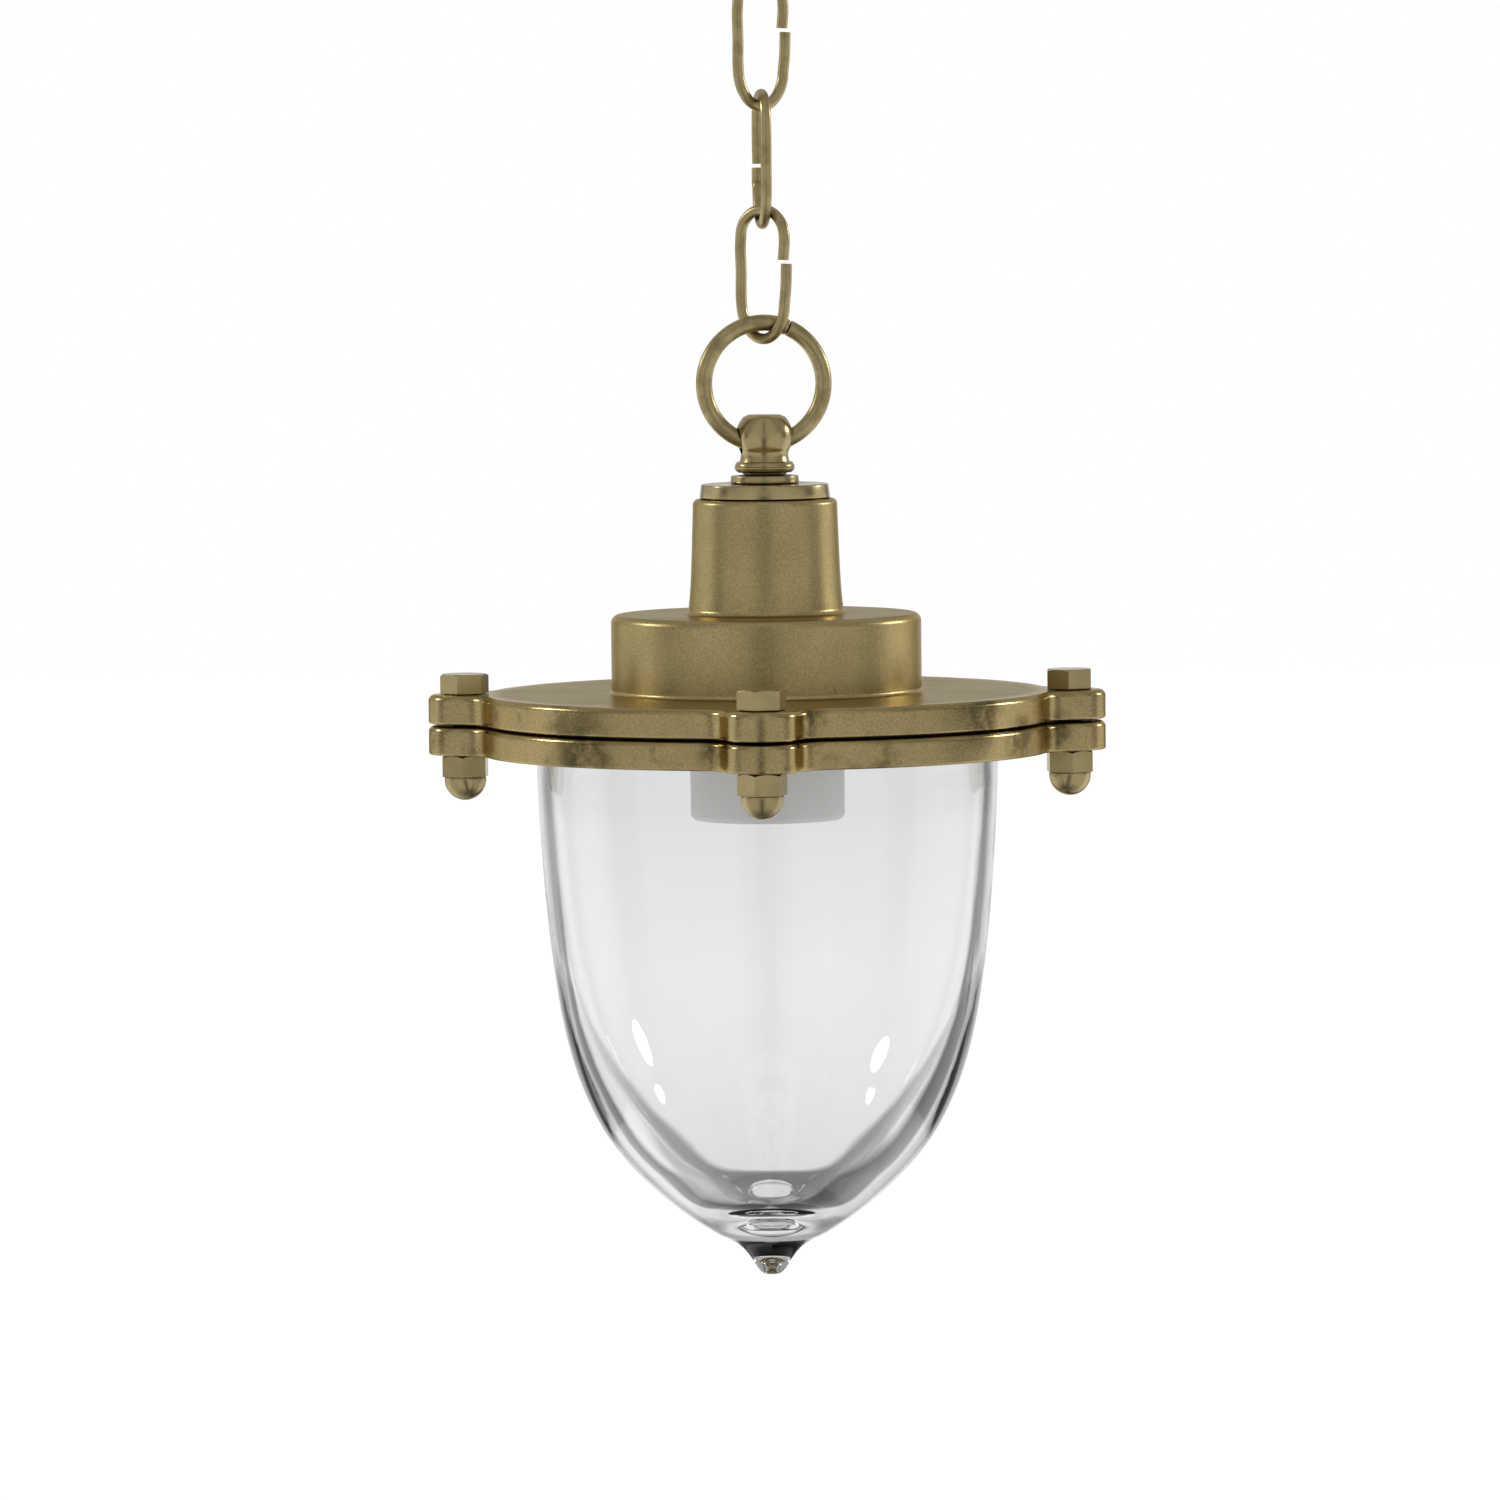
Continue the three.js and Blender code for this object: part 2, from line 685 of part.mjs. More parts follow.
function nutMesh(bolt) {
  const hexFoot = nutTop - nutHexHeight;
  const hex = hexPrism(hexFlats, hexFoot, nutTop, ["top"]).rotate([0, 0, bolt.nutTurn]);
  const dome = [point(0, hexFoot - domeHeight)];
  const steps = 4;
  for (let i = 1; i <= steps; i++) {
    const angle = (Math.PI / 2) * (i / steps);
    dome.push(point(domeRadius * Math.sin(angle), hexFoot - domeHeight * Math.cos(angle)));
  }
  dome.push(point(domeRadius, hexFoot + nutHexHeight / 2), point(0, hexFoot + nutHexHeight / 2));
  const bore = rod(boltRadius + threadGap, nutTop - nutThread, nutTop + cutOverrun);
  const [x, y] = placedBolt(bolt);
  const made = hex.add(solid(turned(dome, shankSides))).subtract(bore);
  const mesh = piece("nut_" + bolt.side, made, turnedBrass);
  mesh.position.set(x, y, 0);
  return mesh;
}

function studWasher() {
  const top = towerRoof - seatGap;
  const bore = studRadius + boltSlack;
  return flatRing("stud_washer", bore, washerRadius, top - washerThickness, top, smallSides, plated);
}

function studNut() {
  const top = towerRoof - 2 * seatGap - washerThickness;
  const hex = hexPrism(studNutFlats, top - studNutHeight, top, ["bottom", "top"]);
  const bore = rod(studRadius + threadGap, top - studNutHeight - cutOverrun, top + cutOverrun);
  return piece("stud_nut", hex.subtract(bore), plated);
}

function holderBracket() {
  const half = bracketWidth / 2;
  const straight = bossSpread + bracketEnd - half;
  const bar = new THREE.Shape();
  bar.absarc(straight, 0, half, -Math.PI / 2, Math.PI / 2, false);
  bar.absarc(-straight, 0, half, Math.PI / 2, (3 * Math.PI) / 2, false);
  const plate = new THREE.ExtrudeGeometry(bar, {
    depth: bracketThickness,
    bevelEnabled: false,
    curveSegments: 4,
  });
  const hole = (radius) =>
    rod(radius + boltSlack, bracketBottom - cutOverrun, bracketTop + cutOverrun);
  const holes = [-1, 1].flatMap((sign) => [
    hole(bracketScrewRadius).translate([sign * bossSpread, 0, 0]),
    hole(holderScrewRadius).translate([sign * holderScrewSpread, 0, 0]),
  ]);
  return piece("holder_bracket", cutAll(solid(plate.translate(0, 0, bracketBottom)), holes), brass);
}

// A slotted pan-head screw, pointing up from a seat at height zero.
function panScrew(radius, depth) {
  const head = radius * screwShares.head;
  const height = radius * screwShares.height;
  const profile = [
    point(0, -height),
    point(head * screwShares.crown, -height),
    point(head, -height * screwShares.edge),
    point(head, 0),
    point(radius, 0),
    point(radius, depth),
    point(0, depth),
  ];
  const slotLength = 2 * head + 2 * cutOverrun;
  const slotFloor = -height * screwShares.slotFloor;
  const slot = block(slotLength, radius * screwShares.slot, -height - cutOverrun, slotFloor);
  return solid(turned(profile, shankSides)).subtract(slot);
}

function screws() {
  const under = bracketBottom - seatGap;
  const over = bracketTop + seatGap;
  const fixing = panScrew(bracketScrewRadius, bossFoot + bracketScrewDepth - under);
  const holding = panScrew(holderScrewRadius, over - holderTop + holderScrewDepth).rotate([180, 0, 0]);
  const earth = panScrew(bracketScrewRadius, bracketScrewDepth);
  const placed = (name, made, finish, x, y, z) => {
    const mesh = piece(name, made, finish);
    mesh.position.set(x, y, z);
    return mesh;
  };
  return [
    placed("bracket_screw_left", fixing, turnedBrass, -bossSpread, 0, under),
    placed("bracket_screw_right", fixing, turnedBrass, bossSpread, 0, under),
    placed("holder_screw_left", holding, plated, -holderScrewSpread, 0, over),
    placed("holder_screw_right", holding, plated, holderScrewSpread, 0, over),
    placed("earth_screw", earth, turnedBrass, 0, -earthOffset, bossFoot - seatGap),
  ];
}

function lampHolder() {
  const cavityRadius = shellOuterRadius + seatGap;
  const profile = [
    point(0, holderBottom),
    ...arc(holderRadius - holderRound, holderBottom + holderRound, holderRound, -90, 0),
    ...arc(holderRadius - holderRound, holderTop - holderRound, holderRound, 0, 90),
    point(0, holderTop),
  ];
  const cavity = [
    point(0, holderBottom - cutOverrun),
    point(mouthRadius, holderBottom - cutOverrun),
    point(mouthRadius, shellSeat),
    point(cavityRadius, shellSeat),
    point(cavityRadius, cavityTop),
    point(0, cavityTop),
  ];
  const screwFoot = holderTop - holderScrewDepth - seatGap;
  const screwHole = rod(holderScrewRadius + threadGap, screwFoot, holderTop + cutOverrun);
  const stemTop = cavityTop + contactSink + seatGap;
  const contactHole = rod(contactRadius / 2 + seatGap, cavityTop - cutOverrun, stemTop);
  const made = cutAll(solid(turned(profile, midSides)), [
    solid(turned(cavity, midSides)),
    screwHole.translate([-holderScrewSpread, 0, 0]),
    screwHole.translate([holderScrewSpread, 0, 0]),
    contactHole,
  ]);
  return piece("lamp_holder", made, porcelain);
}

// The rolled brass shell that the lamp cap screws into: its wall waves in and out.
function threadShell() {
  const wave = [];
  const steps = shellRolls * 2;
  for (let i = 0; i <= steps; i++) {
    const share = i / steps;
    const swell = (shellRollDepth / 2) * (1 - Math.cos(2 * Math.PI * shellRolls * share));
    wave.push([shellInnerRadius + swell, shellSeat + seatGap + share * (shellHeight - seatGap)]);
  }
  const outer = wave.map(([r, z]) => point(r + shellThickness, z));
  const inner = wave.map(([r, z]) => point(r, z)).reverse();
  const profile = [...outer, ...inner, outer[0]];
  return piece("holder_thread_shell", turned(profile, smallSides), turnedBrass);
}

function centreContact() {
  const foot = cavityTop - seatGap;
  const profile = [
    point(0, foot - contactHeight),
    point(contactRadius * contactTipShare, foot - contactHeight),
    point(contactRadius, foot - contactHeight / 2),
    point(contactRadius, foot),
    point(contactRadius / 2, foot),
    point(contactRadius / 2, cavityTop + contactSink),
    point(0, cavityTop + contactSink),
  ];
  return piece("centre_contact", turned(profile, shankSides), plated);
}

function terminalBlock() {
  const foot = bracketTop + seatGap;
  const top = foot + terminalHeight;
  const body = block(terminalLength, terminalWidth, foot, top);
  const tools = [];
  for (const sign of [-1, 1]) {
    const run = terminalWidth + 2 * cutOverrun;
    const tunnel = rod(wireHoleRadius, -run / 2, run / 2).rotate([90, 0, 0]);
    const aside = (sign * terminalLength) / 4;
    tools.push(tunnel.translate([aside, 0, foot + wireHoleRise]));
    const well = rod(wireHoleRadius, foot + wireHoleRise, top + cutOverrun);
    tools.push(well.translate([aside, terminalWidth / 4, 0]));
    tools.push(well.translate([aside, -terminalWidth / 4, 0]));
  }
  return piece("terminal_block", cutAll(body, tools), porcelain);
}

// The gland: a body screwed into the drum's roof, a seal in its mouth and a nut over both.
function gland() {
  const seat = drumTop + seatGap;
  const shoulder = seat + glandHexHeight;
  const neckTop = shoulder + glandNeckHeight;
  const pocketFloor = neckTop - glandSealHeight;
  const sealRadius = glandNeckRadius - glandRim;
  const hex = hexPrism(glandHexFlats, seat, shoulder, ["top"]);
  const thread = rod(glandThreadRadius, drumRoof - wall / 2, seat + glandHexHeight / 2, smallSides);
  const neck = rod(glandNeckRadius, seat + glandHexHeight / 2, neckTop, smallSides);
  const bore = rod(glandBore, drumRoof - wall - cutOverrun, neckTop + cutOverrun, smallSides);
  const pocket = rod(sealRadius, pocketFloor, neckTop + cutOverrun, smallSides);
  const body = hex.add(thread).add(neck).subtract(bore).subtract(pocket);

  const nutFoot = shoulder + seatGap;
  const nutHead = nutFoot + glandNutHeight;
  const nutInner = glandNeckRadius + threadGap;
  const nut = hexPrism(glandNutFlats, nutFoot, nutHead, ["top"])
    .subtract(rod(nutInner, nutFoot - cutOverrun, neckTop + seatGap, smallSides))
    .subtract(rod(glandBore, nutFoot, nutHead + cutOverrun, smallSides));

  const sealOuter = sealRadius - seatGap;
  const sealFoot = pocketFloor + seatGap;
  const meshes = [
    piece("gland_body", body, turnedBrass),
    flatRing("gland_seal", glandBore, sealOuter, sealFoot, neckTop, smallSides, rubber),
    piece("gland_nut", nut, turnedBrass),
  ];
  meshes.forEach((mesh) => mesh.position.setY(glandOffset));
  return meshes;
}

function gaskets() {
  const upperTop = -flangeThickness - seatGap;
  const lowerBottom = rebateFloor + seatGap;
  const lowerTop = lowerBottom + lowerGasket;
  const inner = bellRadius - bellWall;
  const outer = flangeRadius - gasketSetBack;
  return [
    flatRing("upper_gasket", inner, outer, upperTop - upperGasket, upperTop, bigSides, rubber),
    flatRing("lower_gasket", clampBore, lipRadius, lowerBottom, lowerTop, bigSides, rubber),
  ];
}

const lantern = new THREE.Group();
lantern.position.z = flangeTopZ;
lantern.add(
  ringFinial(),
  turnedDisc("finial_collar", collarRadius, collarBottom, collarTop, collarRound),
  turnedDisc("cap_disc", discRadius, discBottom, discTop, discRound),
  roofCasting(),
  studWasher(),
  studNut(),
  holderBracket(),
  ...screws(),
  lampHolder(),
  threadShell(),
  centreContact(),
  terminalBlock(),
  ...gland(),
  ...gaskets(),
  glassBell(),
  clampRing(),
  ...bolts.map(boltMesh),
  ...bolts.map(nutMesh),
);

const shipLantern = new THREE.Group();
shipLantern.add(...chain.map(loopMesh), lantern);

export default shipLantern;
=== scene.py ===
import json
import math
import bpy
from mathutils import Matrix, Vector


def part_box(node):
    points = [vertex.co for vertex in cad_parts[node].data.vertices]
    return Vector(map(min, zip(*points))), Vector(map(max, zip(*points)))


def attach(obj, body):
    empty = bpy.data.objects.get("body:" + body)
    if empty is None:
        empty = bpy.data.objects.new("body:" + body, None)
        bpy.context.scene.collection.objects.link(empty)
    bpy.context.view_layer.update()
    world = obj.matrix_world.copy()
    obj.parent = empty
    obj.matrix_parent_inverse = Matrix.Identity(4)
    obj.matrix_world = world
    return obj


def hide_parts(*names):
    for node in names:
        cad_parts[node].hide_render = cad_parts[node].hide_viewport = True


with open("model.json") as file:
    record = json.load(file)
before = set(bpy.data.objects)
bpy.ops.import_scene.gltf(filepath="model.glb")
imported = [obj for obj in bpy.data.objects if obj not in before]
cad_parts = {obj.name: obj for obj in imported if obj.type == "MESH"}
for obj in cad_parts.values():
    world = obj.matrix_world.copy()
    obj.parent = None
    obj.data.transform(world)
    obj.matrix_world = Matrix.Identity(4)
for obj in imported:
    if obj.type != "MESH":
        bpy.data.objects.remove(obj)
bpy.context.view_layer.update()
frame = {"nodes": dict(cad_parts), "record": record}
print("frame loaded:", len(frame["nodes"]), "nodes")

mm = 0.001
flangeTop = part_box("bolt_front")[1].z - 6.1 * mm  # the flange's top face, 6.1 mm under the bolt heads' tops


# ---- handling objects

def clearSelection():
    if bpy.context.mode != "OBJECT":
        bpy.ops.object.mode_set(mode="OBJECT")
    bpy.ops.object.select_all(action="DESELECT")


def pick(piece):
    clearSelection()
    piece.select_set(True)
    bpy.context.view_layer.objects.active = piece
    return piece


def editAll(piece, kind="VERT"):
    pick(piece)
    bpy.ops.object.mode_set(mode="EDIT")
    bpy.ops.mesh.select_mode(type=kind)
    bpy.ops.mesh.select_all(action="SELECT")


def named(name):
    piece = bpy.context.active_object
    piece.name = name
    piece.data.name = name
    return piece


def settle(piece, angle=32):
    # the piece's place goes into its mesh, and it is shaded smooth up to that angle
    pick(piece)
    bpy.ops.object.transform_apply(location=True, rotation=True, scale=True)
    bpy.ops.object.shade_smooth_by_angle(angle=math.radians(angle))
    return piece


def evenNormals(piece):
    # big flat faces keep their own normal where they run into a rounded edge
    pick(piece)
    even = piece.modifiers.new("even", "WEIGHTED_NORMAL")
    even.keep_sharp = True
    even.weight = 80
    bpy.ops.object.modifier_apply(modifier="even")


def boolean(piece, tool, way="DIFFERENCE"):
    pick(piece)
    step = piece.modifiers.new("step", "BOOLEAN")
    step.operation = way
    step.solver = "EXACT"
    step.object = tool
    bpy.ops.object.modifier_apply(modifier="step")
    bpy.data.objects.remove(tool)


def softenEdges(piece, width, segments=2, angle=35):
    pick(piece)
    soft = piece.modifiers.new("soft", "BEVEL")
    soft.width = width * mm
    soft.segments = segments
    soft.limit_method = "ANGLE"
    soft.angle_limit = math.radians(angle)
    soft.use_clamp_overlap = True
    bpy.ops.object.modifier_apply(modifier="soft")


def traceLine(name, points):
    # a single vertex, extruded from point to point; points are (x, y, z) in millimetres
    clearSelection()
    bpy.ops.mesh.primitive_plane_add(size=mm, location=(0, 0, 0))
    piece = named(name)
    bpy.ops.object.mode_set(mode="EDIT")
    bpy.ops.mesh.select_mode(type="VERT")
    bpy.ops.mesh.select_all(action="SELECT")
    bpy.ops.mesh.merge(type="CENTER")
    here = Vector((0, 0, 0))
    for i, point in enumerate(points):
        there = Vector(point) * mm
        if i == 0:
            bpy.ops.transform.translate(value=there - here)
        else:
            bpy.ops.mesh.extrude_vertices_move(TRANSFORM_OT_translate={"value": there - here})
        here = there
    bpy.ops.mesh.select_all(action="SELECT")
    return piece


def turn(name, profile, steps=160):
    # a profile of (radius, height) in millimetres, spun round the upright axis
    piece = traceLine(name, [(r, 0, z) for r, z in profile])
    bpy.ops.mesh.spin(steps=steps, angle=2 * math.pi, center=(0, 0, 0), axis=(0, 0, 1))
    bpy.ops.mesh.select_all(action="SELECT")
    bpy.ops.mesh.remove_doubles(threshold=0.004 * mm)
    bpy.ops.mesh.normals_make_consistent(inside=False)
    bpy.ops.object.mode_set(mode="OBJECT")
    return piece


def plainRod(radius, low, high, x=0.0, y=0.0, sides=64):
    clearSelection()
    bpy.ops.mesh.primitive_cylinder_add(
        vertices=sides, radius=radius * mm, depth=(high - low) * mm, location=(x * mm, y * mm, (low + high) / 2 * mm)
    )
    return bpy.context.active_object


def arc(x, y, radius, start, end, steps=6):
    points = []
    for i in range(steps + 1):
        angle = math.radians(start + (end - start) * i / steps)
        points.append((x + radius * math.cos(angle), y + radius * math.sin(angle)))
    return points


def smoothLine(points, steps):
    # a curve through the points, as a chain of short straight steps
    ends = [points[0], *points, points[-1]]
    line = [points[0]]
    for i in range(1, len(ends) - 2):
        p0, p1, p2, p3 = ends[i - 1 : i + 3]
        for k in range(1, steps + 1):
            t = k / steps
            line.append(
                tuple(
                    0.5 * (2 * b + (c - a) * t + (2 * a - 5 * b + 4 * c - d) * t * t + (3 * b - a - 3 * c + d) * t**3)
                    for a, b, c, d in zip(p0, p1, p2, p3)
                )
            )
    return line


def lift(piece, height):
    pick(piece)
    bpy.ops.transform.translate(value=(0, 0, height))


# ---- effects that several materials share

def newGroup(name, inputs, outputs):
    group = bpy.data.node_groups.new(name, "ShaderNodeTree")
    for label, kind, value in inputs:
        socket = group.interface.new_socket(name=label, in_out="INPUT", socket_type=kind)
        socket.default_value = value
    for label, kind in outputs:
        group.interface.new_socket(name=label, in_out="OUTPUT", socket_type=kind)
    entry = group.nodes.new("NodeGroupInput")
    leave = group.nodes.new("NodeGroupOutput")
    return group, entry, leave


def node(tree, kind, **settings):
    made = tree.nodes.new(kind)
    for key, value in settings.items():
        if key in made.inputs:
            made.inputs[key].default_value = value
        else:
            setattr(made, key, value)
    return made


def mathNode(tree, operation, first, second=None, third=None, clamp=False):
    made = tree.nodes.new("ShaderNodeMath")
    made.operation = operation
    made.use_clamp = clamp
    for i, value in enumerate((first, second, third)):
        if value is None:
            continue
        if isinstance(value, (int, float)):
            made.inputs[i].default_value = value
        else:
            tree.links.new(value, made.inputs[i])
    return made.outputs[0]


def mixColours(tree, share, first, second, way="MIX"):
    made = tree.nodes.new("ShaderNodeMix")
    made.data_type = "RGBA"
    made.blend_type = way
    for socket, value in ((made.inputs[0], share), (made.inputs[6], first), (made.inputs[7], second)):
        if isinstance(value, (int, float)):
            socket.default_value = value
        elif isinstance(value, tuple):
            socket.default_value = (*value, 1)
        else:
            tree.links.new(value, socket)
    return made.outputs[2]


def noiseNode(tree, place, scale, detail=4.0, roughness=0.55):
    made = tree.nodes.new("ShaderNodeTexNoise")
    tree.links.new(place, made.inputs["Vector"])
    made.inputs["Detail"].default_value = detail
    made.inputs["Roughness"].default_value = roughness
    if isinstance(scale, (int, float)):
        made.inputs["Scale"].default_value = scale
    else:
        tree.links.new(scale, made.inputs["Scale"])
    return made.outputs["Fac"]


def range01(tree, value, low, high):
    made = tree.nodes.new("ShaderNodeMapRange")
    made.clamp = True
    made.interpolation_type = "SMOOTHSTEP"
    tree.links.new(value, made.inputs["Value"])
    made.inputs["From Min"].default_value = low
    made.inputs["From Max"].default_value = high
    return made.outputs["Result"]


def buildPatina():
    # cloudy darkening, brown spots and dark corners on aged brass
    group, entry, leave = newGroup(
        "patina",
        [
            ("Place", "NodeSocketVector", (0, 0, 0)),
            ("Clean", "NodeSocketColor", (0.5, 0.4, 0.2, 1)),
            ("Dark", "NodeSocketColor", (0.2, 0.15, 0.07, 1)),
            ("Cloud scale", "NodeSocketFloat", 60.0),
            ("Cloud amount", "NodeSocketFloat", 0.35),
            ("Spot amount", "NodeSocketFloat", 0.3),
            ("Corner amount", "NodeSocketFloat", 0.6),
        ],
        [("Color", "NodeSocketColor"), ("Dirt", "NodeSocketFloat")],
    )
    place = entry.outputs["Place"]
    cloud = range01(group, noiseNode(group, place, entry.outputs["Cloud scale"], 5, 0.6), 0.36, 0.7)
    spots = range01(group, noiseNode(group, place, 420.0, 3, 0.5), 0.6, 0.78)
    patches = range01(group, noiseNode(group, place, 38.0, 4, 0.65), 0.5, 0.72)
    corner = group.nodes.new("ShaderNodeAmbientOcclusion")
    corner.samples = 6
    corner.inputs["Distance"].default_value = 2.2 * mm
    inCorner = range01(group, mathNode(group, "SUBTRACT", 1.0, corner.outputs["AO"]), 0.3, 0.95)
    a = mathNode(group, "MULTIPLY", cloud, entry.outputs["Cloud amount"])
    b = mathNode(group, "MULTIPLY", mathNode(group, "MULTIPLY", spots, patches), entry.outputs["Spot amount"])
    c = mathNode(group, "MULTIPLY", inCorner, entry.outputs["Corner amount"])
    dirt = mathNode(group, "ADD", mathNode(group, "ADD", a, b), c, clamp=True)
    group.links.new(mixColours(group, dirt, entry.outputs["Clean"], entry.outputs["Dark"]), leave.inputs["Color"])
    group.links.new(dirt, leave.inputs["Dirt"])
    return group


def buildGrain():
    # the sandy skin of a casting: fine grit over a shallow unevenness
    group, entry, leave = newGroup(
        "grain",
        [
            ("Place", "NodeSocketVector", (0, 0, 0)),
            ("Grit scale", "NodeSocketFloat", 1400.0),
            ("Grit height", "NodeSocketFloat", 0.5),
            ("Swell height", "NodeSocketFloat", 0.5),
        ],
        [("Height", "NodeSocketFloat"), ("Grit", "NodeSocketFloat")],
    )
    place = entry.outputs["Place"]
    grit = noiseNode(group, place, entry.outputs["Grit scale"], 2, 0.7)
    swell = noiseNode(group, place, 110.0, 2, 0.5)
    high = mathNode(group, "MULTIPLY", grit, entry.outputs["Grit height"])
    wide = mathNode(group, "MULTIPLY", swell, entry.outputs["Swell height"])
    group.links.new(mathNode(group, "ADD", high, wide), leave.inputs["Height"])
    group.links.new(grit, leave.inputs["Grit"])
    return group


patina = buildPatina()
grain = buildGrain()


def useGroup(tree, group, place, **values):
    made = tree.nodes.new("ShaderNodeGroup")
    made.node_tree = group
    tree.links.new(place, made.inputs["Place"])
    for key, value in values.items():
        label = key.replace("_", " ")
        made.inputs[label].default_value = (*value, 1) if isinstance(value, tuple) else value
    return made


def newMaterial(name, **settings):
    material = bpy.data.materials.new(name)
    material.use_nodes = True
    tree = material.node_tree
    shader = tree.nodes["Principled BSDF"]
    for key, value in settings.items():
        shader.inputs[key.replace("_", " ")].default_value = (*value, 1) if isinstance(value, tuple) else value
    place = tree.nodes.new("ShaderNodeTexCoord").outputs["Object"]
    return material, tree, shader, place


def bumpFrom(tree, shader, height, distance, strength=1.0):
    bump = tree.nodes.new("ShaderNodeBump")
    bump.inputs["Distance"].default_value = distance
    bump.inputs["Strength"].default_value = strength
    tree.links.new(height, bump.inputs["Height"])
    tree.links.new(bump.outputs["Normal"], shader.inputs["Normal"])


# ---- finishes

# the rubbed tone lightens outer corners: wear, and a painted highlight
# the stained tone darkens rim patches: stains, and painted dark reflections
brassTone = {
    "cast": (0.545, 0.438, 0.207), "drawn": (0.54, 0.445, 0.222), "turned": (0.52, 0.425, 0.21), "dark": (0.19, 0.148, 0.065),
    "rubbedAndHighlight": (0.7, 0.645, 0.49), "stainedAndDarkReflection": (0.12, 0.094, 0.042),
}


def rimMask(tree, place, low, high):
    # 0 on the drum and tower, 1 on the flange's rim, which hands and cloths have rubbed
    parts = tree.nodes.new("ShaderNodeSeparateXYZ")
    tree.links.new(place, parts.inputs[0])
    across = mathNode(tree, "SQRT", mathNode(tree, "ADD", mathNode(tree, "POWER", parts.outputs["X"], 2.0),
                                             mathNode(tree, "POWER", parts.outputs["Y"], 2.0)))
    return range01(tree, across, low * mm, high * mm)


# rim patches by bearing, radius, height and reach: brown stains, and painted dark reflections at bearings -38 and 49
rimStainsAndDarkReflections = [
    {"bearing": -38, "radius": 86, "height": -14, "reach": 15}, {"bearing": 49, "radius": 86, "height": -4, "reach": 13},
    {"bearing": 9.5, "radius": 88, "height": -3, "reach": 8}, {"bearing": -9.5, "radius": 88, "height": -13, "reach": 7},
    {"bearing": 81, "radius": 88, "height": -12, "reach": 9}, {"bearing": 62, "radius": 86, "height": -13, "reach": 12},
]


def stainsAndDarkReflectionsAt(tree, place):
    # dark brown patches on the rims: stains beside the lugs and where hands have held the lantern; the patches at
    # bearings -38 and 49 are painted dark reflections
    total = None
    for darkPatch in rimStainsAndDarkReflections:
        bearing = math.radians(darkPatch["bearing"])
        apart = tree.nodes.new("ShaderNodeVectorMath")
        apart.operation = "DISTANCE"
        tree.links.new(place, apart.inputs[0])
        apart.inputs[1].default_value = (darkPatch["radius"] * math.sin(bearing) * mm, -darkPatch["radius"] * math.cos(bearing) * mm,
                                         flangeTop + darkPatch["height"] * mm)
        near = mathNode(tree, "SUBTRACT", 1.0, range01(tree, apart.outputs["Value"], 0.3 * darkPatch["reach"] * mm, darkPatch["reach"] * mm))
        total = near if total is None else mathNode(tree, "MAXIMUM", total, near)
    return total


def edgeWearAndHighlight(tree):
    # 1 along outer corners, where the brass is rubbed bright and a painted highlight lightens and whitens it
    edge = tree.nodes.new("ShaderNodeAmbientOcclusion")
    edge.samples = 6
    edge.inside = True
    edge.inputs["Distance"].default_value = 1.1 * mm
    return mathNode(tree, "MULTIPLY", range01(tree, mathNode(tree, "SUBTRACT", 1.0, edge.outputs["AO"]), 0.12, 0.5), 0.6)


def castBrassFinish():
    material, tree, shader, place = newMaterial("castBrass", Metallic=1.0, Specular_Tint=(0.88, 0.79, 0.6))
    aged = useGroup(tree, patina, place, Clean=brassTone["cast"], Dark=brassTone["dark"],
                    Cloud_scale=52.0, Cloud_amount=0.16, Spot_amount=0.5, Corner_amount=0.88)
    skin = useGroup(tree, grain, place, Grit_scale=1900.0, Grit_height=0.5, Swell_height=0.9)
    speckle = range01(tree, skin.outputs["Grit"], 0.34, 0.68)
    speckled = mixColours(tree, speckle, (0.8, 0.79, 0.77), (1.1, 1.1, 1.1))
    tinted = mixColours(tree, 1.0, aged.outputs["Color"], speckled, "MULTIPLY")
    rim = rimMask(tree, place, 78.0, 85.0)
    darkPatch = range01(tree, noiseNode(tree, place, 46.0, 6, 0.72), 0.53, 0.68)
    stainedAndDarkReflection = mathNode(tree, "MULTIPLY", mathNode(tree, "MULTIPLY", darkPatch, rim), 0.62)
    duller = mixColours(tree, rim, (1.0, 1.0, 1.0), (0.92, 0.91, 0.9))
    facing = tree.nodes.new("ShaderNodeSeparateXYZ")
    tree.links.new(tree.nodes.new("ShaderNodeNewGeometry").outputs["Normal"], facing.inputs[0])
    dusty = mixColours(tree, range01(tree, facing.outputs["Z"], 0.7, 0.98), duller, (0.74, 0.73, 0.7))
    # outer corners take a lighter, whiter brass: wear, and a painted highlight
    wornAndHighlit = mixColours(tree, edgeWearAndHighlight(tree), mixColours(tree, 1.0, tinted, dusty, "MULTIPLY"), brassTone["rubbedAndHighlight"])
    # the listed rim patches, broken up by noise: stains, and painted dark reflections
    spread = mathNode(tree, "MULTIPLY", stainsAndDarkReflectionsAt(tree, place), range01(tree, noiseNode(tree, place, 90.0, 6, 0.7), 0.34, 0.58))
    stainedAndDarkReflection = mathNode(tree, "MAXIMUM", stainedAndDarkReflection, mathNode(tree, "MULTIPLY", spread, 0.9))
    tree.links.new(mixColours(tree, stainedAndDarkReflection, wornAndHighlit, brassTone["stainedAndDarkReflection"]), shader.inputs["Base Color"])
    rough = mathNode(tree, "MULTIPLY_ADD", aged.outputs["Dirt"], 0.2, 0.3)
    tree.links.new(mathNode(tree, "MULTIPLY_ADD", rim, -0.12, rough), shader.inputs["Roughness"])
    bumpFrom(tree, shader, skin.outputs["Height"], 0.07 * mm)
    return material


